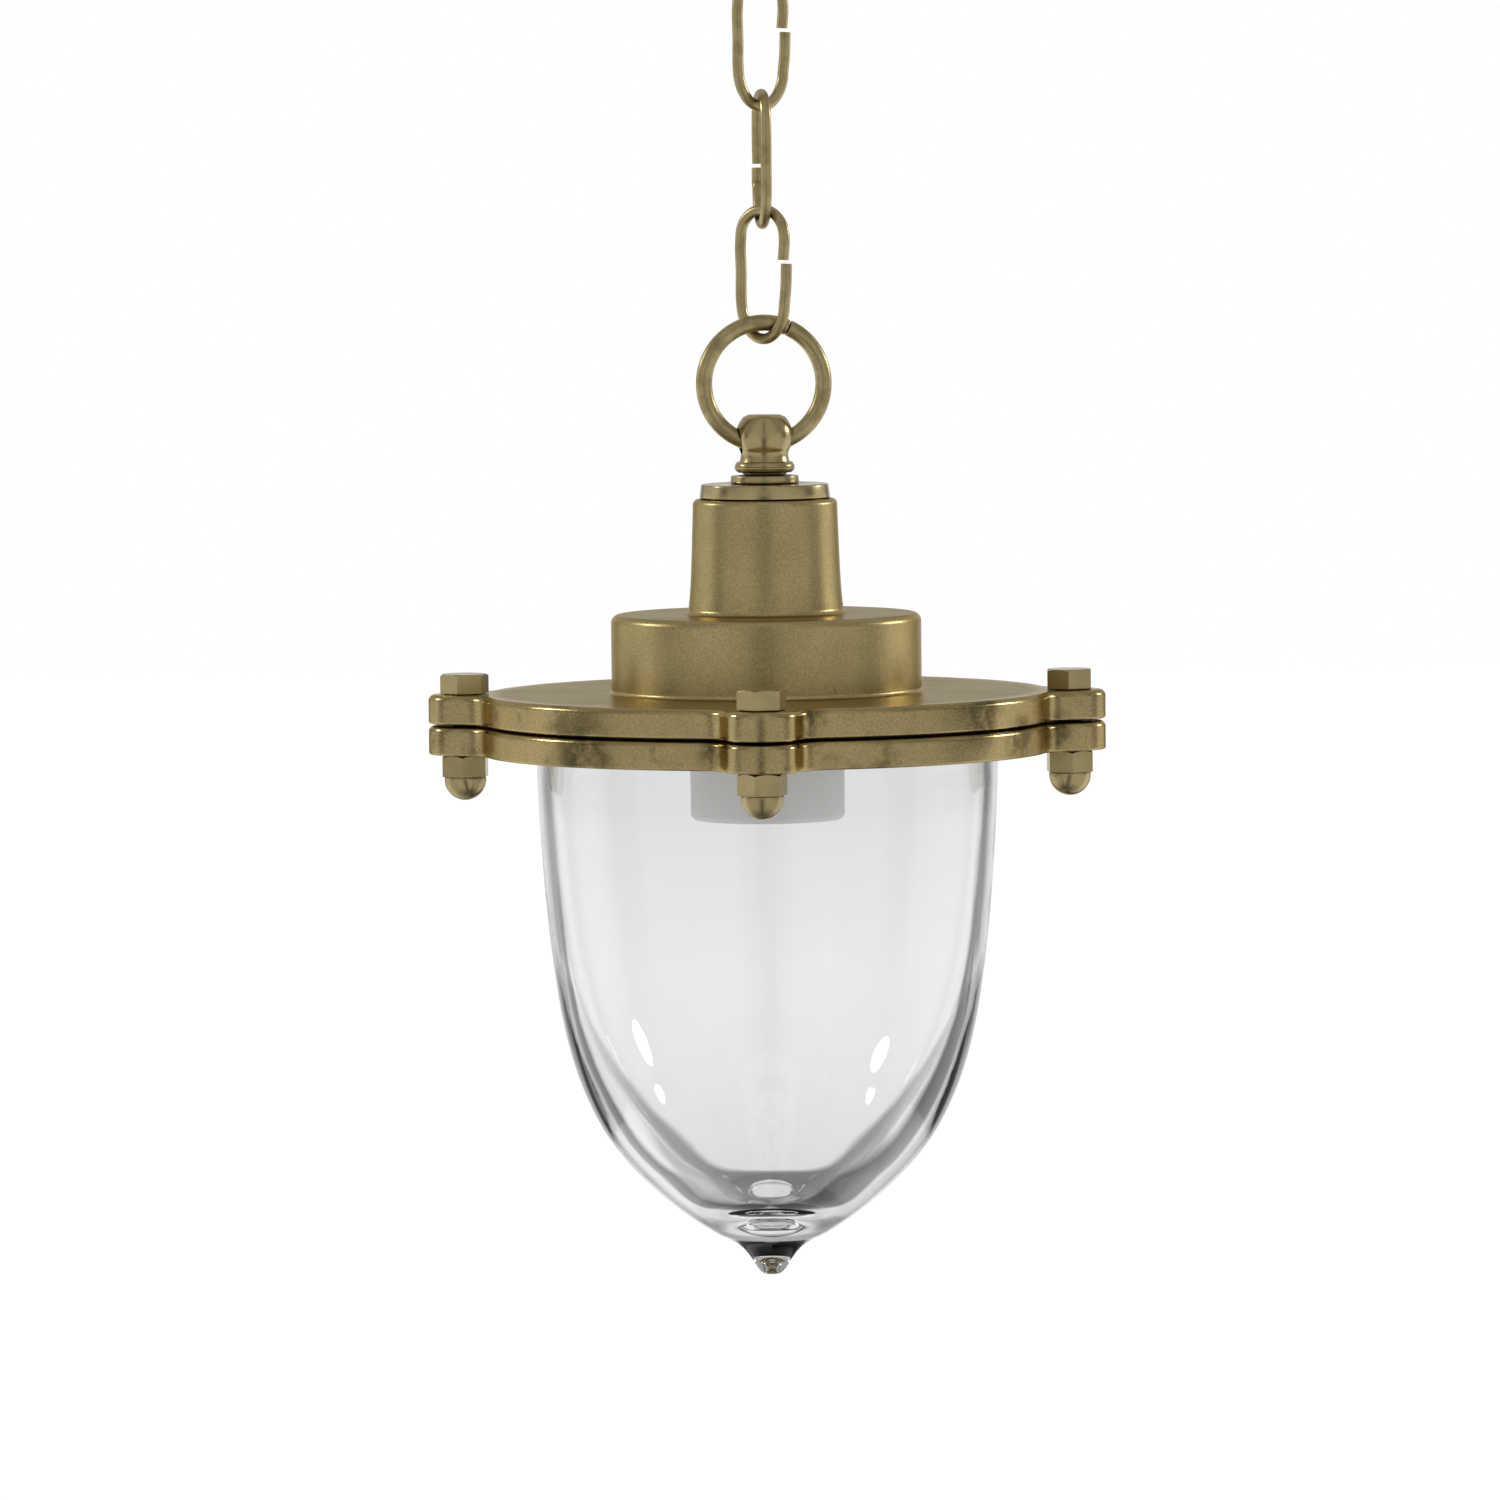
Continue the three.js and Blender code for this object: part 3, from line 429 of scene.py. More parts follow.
def turnedBrassFinish():
    material, tree, shader, place = newMaterial("turnedBrass", Metallic=1.0)
    aged = useGroup(tree, patina, place, Clean=brassTone["turned"], Dark=brassTone["dark"],
                    Cloud_scale=90.0, Cloud_amount=0.28, Spot_amount=0.55, Corner_amount=0.85)
    skin = useGroup(tree, grain, place, Grit_scale=900.0, Grit_height=0.25, Swell_height=0.5)
    tree.links.new(aged.outputs["Color"], shader.inputs["Base Color"])
    rough = mathNode(tree, "MULTIPLY_ADD", aged.outputs["Dirt"], 0.25, 0.2)
    tree.links.new(rough, shader.inputs["Roughness"])
    bumpFrom(tree, shader, skin.outputs["Height"], 0.035 * mm)
    return material


def wireBrassFinish():
    material, tree, shader, place = newMaterial("wireBrass", Metallic=1.0)
    aged = useGroup(tree, patina, place, Clean=brassTone["drawn"], Dark=brassTone["dark"],
                    Cloud_scale=170.0, Cloud_amount=0.5, Spot_amount=0.7, Corner_amount=0.8)
    skin = useGroup(tree, grain, place, Grit_scale=1100.0, Grit_height=0.35, Swell_height=0.7)
    tree.links.new(aged.outputs["Color"], shader.inputs["Base Color"])
    rough = mathNode(tree, "MULTIPLY_ADD", aged.outputs["Dirt"], 0.22, 0.3)
    tree.links.new(rough, shader.inputs["Roughness"])
    bumpFrom(tree, shader, skin.outputs["Height"], 0.06 * mm)
    return material


def glassFinish():
    material, tree, shader, place = newMaterial("clearGlass", Base_Color=(0.965, 0.97, 0.968), IOR=1.5,
                                                Transmission_Weight=1.0, Roughness=0.015)
    swell = noiseNode(tree, place, 36.0, 1, 0.5)
    ripple = noiseNode(tree, place, 170.0, 2, 0.5)
    height = mathNode(tree, "MULTIPLY_ADD", ripple, 0.12, swell)
    bumpFrom(tree, shader, height, 0.06 * mm)
    return material


def porcelainWithPaintedGlowFinish():
    # a faint white glow is painted light: it brightens the holder, which gives no light of its own
    material, tree, shader, place = newMaterial("porcelain", Roughness=0.42, Emission_Color=(1.0, 1.0, 1.0), Emission_Strength=0.17)
    shade = range01(tree, noiseNode(tree, place, 35.0, 4, 0.6), 0.3, 0.75)
    tree.links.new(mixColours(tree, shade, (0.89, 0.89, 0.88), (0.94, 0.94, 0.93)), shader.inputs["Base Color"])
    bumpFrom(tree, shader, noiseNode(tree, place, 160.0, 2, 0.5), 0.04 * mm)
    return material


def rubberFinish():
    material, tree, shader, place = newMaterial("blackRubber", Roughness=0.75)
    dust = range01(tree, noiseNode(tree, place, 260.0, 5, 0.6), 0.4, 0.8)
    tree.links.new(mixColours(tree, dust, (0.018, 0.017, 0.015), (0.05, 0.046, 0.036)), shader.inputs["Base Color"])
    bumpFrom(tree, shader, noiseNode(tree, place, 900.0, 3, 0.6), 0.05 * mm)
    return material


def platedFinish():
    material, tree, shader, place = newMaterial("platedSteel", Metallic=1.0)
    haze = range01(tree, noiseNode(tree, place, 150.0, 4, 0.6), 0.35, 0.75)
    tree.links.new(mixColours(tree, haze, (0.6, 0.59, 0.56), (0.42, 0.4, 0.36)), shader.inputs["Base Color"])
    tree.links.new(mathNode(tree, "MULTIPLY_ADD", haze, 0.2, 0.25), shader.inputs["Roughness"])
    bumpFrom(tree, shader, noiseNode(tree, place, 700.0, 2, 0.5), 0.02 * mm)
    return material


finishes = {
    "cast_brass": castBrassFinish(),
    "turned_brass": turnedBrassFinish(),
    "drawn_brass_wire": wireBrassFinish(),
    "clear_glass": glassFinish(),
    "porcelain": porcelainWithPaintedGlowFinish(),
    "rubber": rubberFinish(),
    "plated_steel": platedFinish(),
}
slotOf = {row["node"]: row["material_slot"] for row in frame["record"]["subparts"]}
bodyOf = {name: body for body, names in frame["record"]["behaviour"]["bodies"].items() for name in names}
for name, cadNode in frame["nodes"].items():
    cadNode.data.materials.clear()
    cadNode.data.materials.append(finishes[slotOf[name]])
print("finishes made:", ", ".join(finishes))


def standsFor(piece, name):
    # the piece takes over the CAD node's body and the finish of its slot, and the CAD node is hidden
    piece.data.materials.clear()
    piece.data.materials.append(finishes[slotOf[name]])
    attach(piece, bodyOf[name])
    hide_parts(name)
    return piece


# ---- chain and ring

link = {"length": 42, "width": 20, "wire": 3.3, "topRise": 8, "footRise": 11.5, "gap": 1.2, "step": 1.2, "outShare": 0.65}
linkPlaces = [
    {"node": "chain_link_top", "turn": 37, "side": 1, "rise": 0.08},
    {"node": "chain_link_middle", "turn": -80, "side": -1, "rise": -0.05},
    {"node": "chain_link_lower", "turn": -38, "side": 1, "rise": 0.09},
]


def linkLine(side, riseShare):
    halfWidth = (link["width"] - link["wire"]) / 2
    halfHeight = (link["length"] - link["wire"]) / 2
    split = riseShare * link["length"]
    out = link["step"] * link["outShare"]
    points = [(halfWidth + out, split - link["gap"] / 2), (halfWidth + out / 2, (split - halfHeight) / 2 + link["footRise"] / 4)]
    for sign, rise in ((-1, link["footRise"]), (1, link["topRise"])):
        for i in range(9):
            angle = math.pi * i / 8
            points.append((-sign * halfWidth * math.cos(angle), sign * (halfHeight - rise + rise * math.sin(angle))))
        if sign < 0:
            points.append((-halfWidth, 0))
    points.append((halfWidth + out - link["step"], split + link["gap"] / 2))
    return [(side * x, 0, z) for x, z in points]


def roundEnds(piece, width):
    # the two cut faces of a wire get a rounded rim
    editAll(piece, "FACE")
    bpy.ops.mesh.select_all(action="DESELECT")
    bpy.ops.object.mode_set(mode="OBJECT")
    for face in piece.data.polygons:
        face.select = len(face.vertices) > 8
    bpy.ops.object.mode_set(mode="EDIT")
    bpy.ops.mesh.bevel(offset=width * mm, segments=3, affect="EDGES")
    bpy.ops.object.mode_set(mode="OBJECT")


def makeLink(place):
    clearSelection()
    bpy.ops.curve.primitive_bezier_curve_add(location=(0, 0, 0))
    wire = named(place["node"] + "_wire")
    points = linkLine(place["side"], place["rise"])
    spline = wire.data.splines[0]
    spline.bezier_points.add(len(points) - len(spline.bezier_points))
    for bead, point in zip(spline.bezier_points, points):
        bead.co = Vector(point) * mm
        bead.handle_left_type = bead.handle_right_type = "AUTO"
    wire.data.dimensions = "3D"
    wire.data.twist_mode = "MINIMUM"
    wire.data.resolution_u = 6
    wire.data.bevel_depth = link["wire"] / 2 * mm
    wire.data.bevel_resolution = 5
    wire.data.use_fill_caps = True
    bpy.ops.object.convert(target="MESH")
    wire = bpy.context.active_object
    editAll(wire)
    bpy.ops.mesh.remove_doubles(threshold=0.004 * mm)
    bpy.ops.mesh.normals_make_consistent(inside=False)
    bpy.ops.object.mode_set(mode="OBJECT")
    roundEnds(wire, 0.9)
    low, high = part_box(place["node"])
    wire.rotation_euler = (0, 0, math.radians(place["turn"]))
    wire.location = (0, 0, (low.z + high.z) / 2)
    settle(wire, 50)
    return standsFor(wire, place["node"])


for place in linkPlaces:
    makeLink(place)

ring = {"outer": 41.3, "wire": 4.9, "turn": 11, "jointAngle": 65, "gap": 0.3}


def makeRing():
    radius = (ring["outer"] - ring["wire"]) / 2
    opening = ring["gap"] / radius
    start = math.radians(ring["jointAngle"]) + opening / 2
    clearSelection()
    bpy.ops.mesh.primitive_circle_add(
        vertices=24, radius=ring["wire"] / 2 * mm, rotation=(0, -start, 0),
        location=(radius * math.cos(start) * mm, 0, radius * math.sin(start) * mm),
    )
    piece = named("suspension_ring_wire")
    bpy.ops.object.transform_apply(location=True, rotation=True, scale=True)
    editAll(piece)
    bpy.ops.mesh.spin(steps=168, angle=2 * math.pi - opening, center=(0, 0, 0), axis=(0, -1, 0))
    bpy.ops.mesh.select_all(action="DESELECT")
    bpy.ops.mesh.select_non_manifold()
    bpy.ops.mesh.fill_holes(sides=0)
    bpy.ops.mesh.select_all(action="SELECT")
    bpy.ops.mesh.normals_make_consistent(inside=False)
    bpy.ops.object.mode_set(mode="OBJECT")
    roundEnds(piece, 0.35)
    low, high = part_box("suspension_ring")
    piece.rotation_euler = (0, 0, math.radians(ring["turn"]))
    piece.location = (0, 0, (low.z + high.z) / 2)
    settle(piece, 50)
    return standsFor(piece, "suspension_ring")


makeRing()
print("chain and ring made")


# ---- finial and the discs under it

finial = {
    "foot": 65.3, "studEnd": 41.8, "stud": 5, "stub": 6.6, "stubRise": 0.5, "bead": 9.1, "beadHeight": 3.6, "neck": 7.1,
    "neckRise": 5.6, "ball": 8.6, "ballRise": 11.4, "flat": 5.6, "holeRise": 10.18, "hole": 3.88,
}


def crossHoleTool():
    reach = finial["ball"] + 4
    bore = plainRod(finial["hole"], -reach, reach, sides=96)
    bore.rotation_euler = (0, math.pi / 2, 0)
    pick(bore)
    bpy.ops.object.transform_apply(location=False, rotation=True, scale=False)
    bore.rotation_euler = (0, 0, math.radians(ring["turn"]))
    bore.location = (0, 0, (finial["foot"] + finial["holeRise"]) * mm)
    bpy.ops.object.transform_apply(location=True, rotation=True, scale=True)
    return bore


def makeFinial():
    f = finial
    bead = f["beadHeight"] / 2
    flat = math.degrees(math.acos(f["flat"] / f["ball"]))
    top = f["foot"] + f["ballRise"] + f["ball"] * math.sin(math.radians(flat))
    ridges = []
    for i in range(15):
        z = f["studEnd"] + 1.2 + i * 1.45
        ridges += [(f["stud"] - 0.45, z), (f["stud"] - 0.05, z + 0.72)]
    profile = [
        (0, f["studEnd"]),
        (f["stud"] - 0.9, f["studEnd"]),
        *ridges,
        (f["stud"], f["foot"] - 1),
        (f["stud"], f["foot"]),
        *arc(f["stub"] - 0.3, f["foot"] + 0.3, 0.3, -90, 0, 3),
        (f["stub"], f["foot"] + f["stubRise"]),
        *arc(f["bead"] - bead, f["foot"] + f["stubRise"] + bead, bead, -68, -6, 7),
        (f["bead"] - 0.22, f["foot"] + f["stubRise"] + bead + 0.05),
        *arc(f["bead"] - bead - 0.1, f["foot"] + f["stubRise"] + bead, bead, 6, 58, 6),
        *smoothLine(
            [
                (f["bead"] - 1.6, f["foot"] + f["stubRise"] + 2 * bead - 0.2),
                (f["neck"], f["foot"] + f["neckRise"]),
                (f["ball"] * math.cos(math.radians(-33)), f["foot"] + f["ballRise"] - f["ball"] * math.sin(math.radians(33))),
            ],
            6,
        ),
        *arc(0, f["foot"] + f["ballRise"], f["ball"], -28, flat - 6, 18),
        *arc(f["flat"] - 0.9, top - 0.75, 0.75, 40, 90, 5),
        (0, top),
    ]
    piece = turn("ring_finial_turned", profile, 192)
    boolean(piece, crossHoleTool())
    softenEdges(piece, 0.22, 3, 40)
    lift(piece, flangeTop)
    settle(piece, 38)
    return standsFor(piece, "ring_finial")


makeFinial()

discs = {
    "finial_collar": {"radius": 10.3, "low": 62.8, "high": 65.0, "edge": 0.35, "taper": 0.15},
    "cap_disc": {"radius": 19.6, "low": 58.3, "high": 62.5, "edge": 0.6, "taper": 0.4},
}
for name, size in discs.items():
    bore = 5.5
    profile = [
        (bore, size["low"] + 0.2),
        (bore + 0.2, size["low"]),
        *arc(size["radius"] - 0.25, size["low"] + 0.25, 0.25, -90, 0, 3),
        *arc(size["radius"] - size["edge"] - size["taper"], size["high"] - size["edge"], size["edge"], 6, 90, 7),
        (size["radius"] - size["edge"] - size["taper"] - 0.6, size["high"]),
        (bore + 0.2, size["high"]),
        (bore, size["high"] - 0.2),
        (bore, size["low"] + 0.2),
    ]
    disc = turn(name + "_turned", profile, 192)
    lift(disc, flangeTop)
    settle(disc, 50)
    standsFor(disc, name)
print("finial and discs made")


# ---- roof casting and clamp ring

flange = {
    "radius": 86, "thickness": 8.4, "round": 1.9, "roundBelow": 0.8, "lip": 0.35, "lipRadius": 83.4, "boltCircle": 90.9, "lug": 10.9, "lugFillet": 12, "boltHole": 4.5,
    "clampTop": -9.7,
}
sides = {"front": -90, "right": 0, "back": 90, "left": 180}


def flangeOutline():
    toFillet = flange["radius"] + flange["lugFillet"]
    lugToFillet = flange["lug"] + flange["lugFillet"]
    cosine = (toFillet**2 + flange["boltCircle"] ** 2 - lugToFillet**2) / (2 * toFillet * flange["boltCircle"])
    x, y = toFillet * cosine, toFillet * math.sqrt(1 - cosine**2)
    spread = math.degrees(math.acos(cosine))
    lean = math.degrees(math.atan2(y, x - flange["boltCircle"]))
    part = [
        *arc(x, -y, flange["lugFillet"], 180 - spread, 180 - lean, 12),
        *arc(flange["boltCircle"], 0, flange["lug"], -lean, lean, 36)[1:],
        *arc(x, y, flange["lugFillet"], 180 + lean, 180 + spread, 12)[1:],
        *arc(0, 0, flange["radius"], spread, 90 - spread, 30)[1:-1],
    ]
    outline = []
    for quarter in range(4):
        c, s = math.cos(math.pi / 2 * quarter), math.sin(math.pi / 2 * quarter)
        outline += [(c * px - s * py, s * px + c * py) for px, py in part]
    return outline


def flangePlate(name, low, high):
    outline = flangeOutline()
    piece = traceLine(name, [(x, y, low) for x, y in [*outline, outline[0]]])
    bpy.ops.mesh.remove_doubles(threshold=0.004 * mm)
    bpy.ops.mesh.edge_face_add()
    bpy.ops.mesh.extrude_region_move(TRANSFORM_OT_translate={"value": (0, 0, (high - low) * mm)})
    bpy.ops.mesh.select_all(action="SELECT")
    bpy.ops.mesh.normals_make_consistent(inside=False)
    for height, width in ((high, flange["round"]), (low, flange["roundBelow"])):
        bpy.ops.mesh.select_all(action="DESELECT")
        bpy.ops.mesh.select_mode(type="EDGE")
        bpy.ops.object.mode_set(mode="OBJECT")
        corners = piece.data.vertices
        for edge in piece.data.edges:
            edge.select = all(abs(corners[i].co.z - height * mm) < 1e-6 for i in edge.vertices)
        bpy.ops.object.mode_set(mode="EDIT")
        bpy.ops.mesh.bevel(offset=width * mm, segments=6, affect="EDGES")
    bpy.ops.object.mode_set(mode="OBJECT")
    return piece


def cutBoltHoles(piece, low, high):
    for angle in sides.values():
        turnTo = math.radians(angle)
        x, y = flange["boltCircle"] * math.cos(turnTo), flange["boltCircle"] * math.sin(turnTo)
        boolean(piece, plainRod(flange["boltHole"], low - 3, high + 3, x, y, 48))


roof = {
    "wall": 4, "towerTop": 58, "towerRadius": 21.7, "towerFlare": 1.5, "towerRound": 1.6, "towerFillet": 2,
    "drumTop": 23.5, "drumRadius": 46.6, "drumRound": 2.4, "drumFillet": 1.3, "boss": 5.4, "bossFoot": 13.3,
    "bossSpread": 30, "earthAt": 33, "glandAt": 35.7, "gland": 5.3, "screw": 2.3, "stud": 5.5,
}


def makeRoof():
    r = roof
    foot = r["towerRadius"] + r["towerFlare"]
    taper = [
        (r["towerRadius"] + r["towerFlare"] * share, r["drumTop"] + r["towerFillet"] + (r["towerTop"] - r["towerRound"] - r["drumTop"] - r["towerFillet"]) * (1 - place))
        for place, share in ((0.97, 0.96), (0.9, 0.8), (0.78, 0.6), (0.6, 0.42), (0.4, 0.27), (0.2, 0.13), (0.06, 0.03))
    ]
    outside = [
        (0, -2.1),
        (r["drumRadius"] + r["drumFillet"], -2.1),
        *arc(r["drumRadius"] + r["drumFillet"], r["drumFillet"], r["drumFillet"], -90, -180, 8),
        (r["drumRadius"], r["drumTop"] / 2),
        *arc(r["drumRadius"] - r["drumRound"], r["drumTop"] - r["drumRound"], r["drumRound"], 0, 90, 10),
        (r["drumRadius"] - r["drumRound"] - 1, r["drumTop"]),
        (foot + r["towerFillet"] + 1, r["drumTop"]),
        *arc(foot + r["towerFillet"], r["drumTop"] + r["towerFillet"], r["towerFillet"], -90, -172, 9),
        *[p for p in sorted(taper, key=lambda p: p[1])],
        *arc(r["towerRadius"] - r["towerRound"], r["towerTop"] - r["towerRound"], r["towerRound"], 0, 90, 8),
        (r["towerRadius"] - r["towerRound"] - 1, r["towerTop"]),
        (0, r["towerTop"]),
    ]
    inner = r["drumRadius"] - r["wall"]
    roofHeight = r["drumTop"] - r["wall"]
    hollow = [
        (0, -14),
        (inner, -14),
        *arc(inner - r["drumRound"], roofHeight - r["drumRound"], r["drumRound"], 0, 90, 6),
        (foot - r["wall"] + 1.5, roofHeight),
        (foot - r["wall"], roofHeight + 1.5),
        *arc(r["towerRadius"] - r["wall"] - r["towerRound"], r["towerTop"] - r["wall"] - r["towerRound"], r["towerRound"], 0, 90, 5),
        (0, r["towerTop"] - r["wall"]),
    ]
    foot0 = -flange["thickness"] - flange["lip"]
    piece = flangePlate("roof_casting_cast", foot0, 0)
    boolean(piece, plainRod(flange["lipRadius"], foot0 - 3, -flange["thickness"], sides=192))
    boolean(piece, turn("body", outside, 192), "UNION")
    boolean(piece, turn("hollow", hollow, 128))
    bossPlaces = [(-r["bossSpread"], 0), (r["bossSpread"], 0), (0, -r["earthAt"])]
    for x, y in bossPlaces:
        boolean(piece, plainRod(r["boss"], r["bossFoot"], roofHeight + r["wall"] / 2, x, y, 48), "UNION")
        boolean(piece, plainRod(r["screw"], r["bossFoot"] - 3, r["bossFoot"] + 6.8, x, y, 32))
    boolean(piece, plainRod(r["stud"], r["towerTop"] - 8, r["towerTop"] + 3, 0, 0, 64))
    boolean(piece, plainRod(r["gland"], roofHeight - 3, r["drumTop"] + 3, 0, r["glandAt"], 64))
    cutBoltHoles(piece, -flange["thickness"], 0)
    lift(piece, flangeTop)
    settle(piece, 32)
    evenNormals(piece)
    return standsFor(piece, "roof_casting")


makeRoof()
print("roof casting made")

clamp = {"top": -9.7, "bottom": -18.1, "bore": 70.3, "rebate": 76.8, "rebateFloor": -15.3}


def makeClampRing():
    c = clamp
    piece = flangePlate("clamp_ring_cast", c["bottom"], c["top"] + flange["lip"])
    boolean(piece, plainRod(flange["lipRadius"], c["top"], c["top"] + 3, sides=192))
    opening = [
        (0, c["bottom"] - 4),
        (c["bore"] + 0.8, c["bottom"] - 4),
        (c["bore"] + 0.8, c["bottom"]),
        *arc(c["bore"] + 0.8, c["bottom"] + 0.8, 0.8, -90, -180, 5)[1:],
        (c["bore"], c["rebateFloor"]),
        (c["rebate"] - 0.4, c["rebateFloor"]),
        (c["rebate"], c["rebateFloor"] + 0.4),
        (c["rebate"], c["top"] + 4),
        (0, c["top"] + 4),
    ]
    boolean(piece, turn("opening", opening, 192))
    cutBoltHoles(piece, c["bottom"], c["top"])
    lift(piece, flangeTop)
    settle(piece, 32)
    evenNormals(piece)
    return standsFor(piece, "clamp_ring")


makeClampRing()
print("clamp ring made")


# ---- bolts and domed nuts

bolt = {"flats": 13, "seat": 0.3, "head": 5.8, "radius": 4, "end": -26.2, "pitch": 1.25}
nut = {"top": -18.4, "hex": 6.4, "dome": 6.3, "domeHeight": 7.2, "bore": 4.3, "depth": 9}
boltTurns = {"front": (16, 14), "right": (28, 36), "back": (12, 8), "left": (16, 26)}


def hexBlock(name, flats, low, high, chamferTop, chamferBottom, crown=0.0):
    # a hexagon cut to shape by a turned blank, corners on the X axis
    corner = flats / math.sqrt(3)
    clearSelection()
    bpy.ops.mesh.primitive_cylinder_add(
        vertices=6, radius=corner * mm, depth=(high - low) * mm, location=(0, 0, (low + high) / 2 * mm),
        rotation=(0, 0, math.pi / 6),
    )
    piece = named(name)
    bpy.ops.object.transform_apply(location=True, rotation=True, scale=True)
    drop = (corner - flats / 2) * 0.62
    blank = [(0, low)]
    blank += [(flats / 2 - 0.05, low), (corner + 0.1, low + drop)] if chamferBottom else [(corner + 1, low - 0.0)]
    blank += [(corner + 0.1, high - drop), (flats / 2 - 0.05, high)] if chamferTop else [(corner + 1, high)]
    blank += [(0, high + crown)]
    boolean(piece, turn("blank", blank, 96), "INTERSECT")
    return piece


def makeBolt(side):
    b = bolt
    piece = hexBlock("bolt_" + side + "_hex", b["flats"], b["seat"], b["seat"] + b["head"], True, False)
    ridges = []
    count = 14
    for i in range(count):
        z = b["end"] + 0.8 + i * b["pitch"]
        ridges += [(b["radius"] - 0.42, z), (b["radius"] - 0.02, z + b["pitch"] / 2)]
    shank = [(0, b["end"]), (b["radius"] - 0.8, b["end"]), *ridges, (b["radius"] - 0.4, ridges[-1][1] + 0.6), (b["radius"], ridges[-1][1] + 1.2), (b["radius"], b["seat"] + 2), (0, b["seat"] + 2)]
    boolean(piece, turn("shank", shank, 48), "UNION")
    softenEdges(piece, 0.28, 3, 45)
    piece.rotation_euler = (0, 0, math.radians(boltTurns[side][0]))
    return piece


def makeNut(side):
    n = nut
    hexFoot = n["top"] - n["hex"]
    piece = hexBlock("nut_" + side + "_domed", bolt["flats"], hexFoot, n["top"], True, False)
    dome = [(0, hexFoot - n["domeHeight"])]
    for i in range(1, 17):
        angle = math.pi / 2 * i / 16
        dome.append((n["dome"] * math.sin(angle), hexFoot - 0.9 - (n["domeHeight"] - 0.9) * math.cos(angle)))
    dome += [(n["dome"], hexFoot - 0.25), (n["dome"] - 0.3, hexFoot), (n["dome"] - 0.3, hexFoot + 3), (0, hexFoot + 3)]
    boolean(piece, turn("dome", dome, 96), "UNION")
    boolean(piece, plainRod(n["bore"], n["top"] - n["depth"], n["top"] + 3, sides=48))
    softenEdges(piece, 0.25, 3, 42)
    piece.rotation_euler = (0, 0, math.radians(boltTurns[side][1]))
    return piece


for side, angle in sides.items():
    turnTo = math.radians(angle)
    x, y = flange["boltCircle"] * math.cos(turnTo) * mm, flange["boltCircle"] * math.sin(turnTo) * mm
    for made, name in ((makeBolt(side), "bolt_" + side), (makeNut(side), "nut_" + side)):
        made.location = (x, y, flangeTop)
        settle(made, 32)
        evenNormals(made)
        standsFor(made, name)
print("bolts and nuts made")


# ---- glass and gaskets

bell = {"top": -9.7, "radius": 69.4, "wall": 4, "lip": 76, "lipThickness": 4}
# outlines from the lip down, as radius and height: the blown outside with its drawn tip, and the cavity with its dimple
outsideLine = [
    (69.3, -17.5), (69.2, -26), (68.6, -40), (67.6, -55), (66.3, -70), (64.6, -84), (62.6, -97), (59.7, -109.5),
    (55.7, -121), (50.3, -131.8), (43.4, -141.2), (35.0, -149.8), (26.0, -157.2), (17.6, -162.9), (11.6, -165.9),
    (8.2, -168.6), (5.9, -171.6), (4.2, -174.2), (2.4, -175.8), (0, -176.1),
]
insideLine = [
    (65.3, -16), (65.1, -33), (63.9, -50), (62.2, -67), (59.9, -83), (56.8, -97), (52.7, -109), (47.4, -119.8),
    (41.0, -129.4), (33.6, -137.6), (25.0, -144.8), (18.4, -149.2), (13.2, -150.9), (7.6, -151.2), (6.7, -152.2),
    (4.6, -153.9), (0, -154.6),
]


def makeGlass():
    b = bell
    outside = smoothLine(list(reversed(outsideLine)), 6)
    lipFoot = b["top"] - b["lipThickness"]
    lip = [
        (b["radius"], lipFoot - 1.2),
        *arc(b["radius"] + 0.8, lipFoot - 0.8, 0.8, 180, 90, 4),
        *arc(b["lip"] - 1, lipFoot + 1, 1, -90, 0, 5),
        *arc(b["lip"] - 1, b["top"] - 1, 1, 0, 90, 5),
    ]
    inRadius = b["radius"] - b["wall"]
    inside = [*arc(inRadius + 0.8, b["top"] - 0.8, 0.8, 90, 180, 4), *smoothLine(insideLine, 7)]
    piece = turn("glass_bell_blown", [*outside, *lip, *inside], 192)
    lift(piece, flangeTop)
    settle(piece, 50)
    return standsFor(piece, "glass_bell")


makeGlass()

gaskets = {
    "upper_gasket": {"inner": 65.4, "outer": 83, "low": -9.4, "high": -8.7},
    "lower_gasket": {"inner": 70.3, "outer": 76, "low": -15.0, "high": -14.0},
}
for name, size in gaskets.items():
    bulge = (size["high"] - size["low"]) / 2
    middle = (size["high"] + size["low"]) / 2
    profile = [
        *arc(size["outer"] - bulge, middle, bulge, -90, 90, 6),
        *arc(size["inner"] + bulge, middle, bulge, 90, 270, 6),
        (size["outer"] - bulge, size["low"]),
    ]
    gasket = turn(name + "_cut", profile, 160)
    lift(gasket, flangeTop)
    settle(gasket, 50)
    standsFor(gasket, name)
print("glass and gaskets made")


# ---- lamp holder

holder = {"radius": 23.2, "top": 10.2, "bottom": -38.4, "round": 2.2, "mouth": 18.4, "mouthDepth": 11, "shell": 15.0, "cavityTop": 0.6}
shell = {"inner": 13.4, "thickness": 0.6, "low": -27.1, "high": -2.4, "rolls": 4, "roll": 0.7}


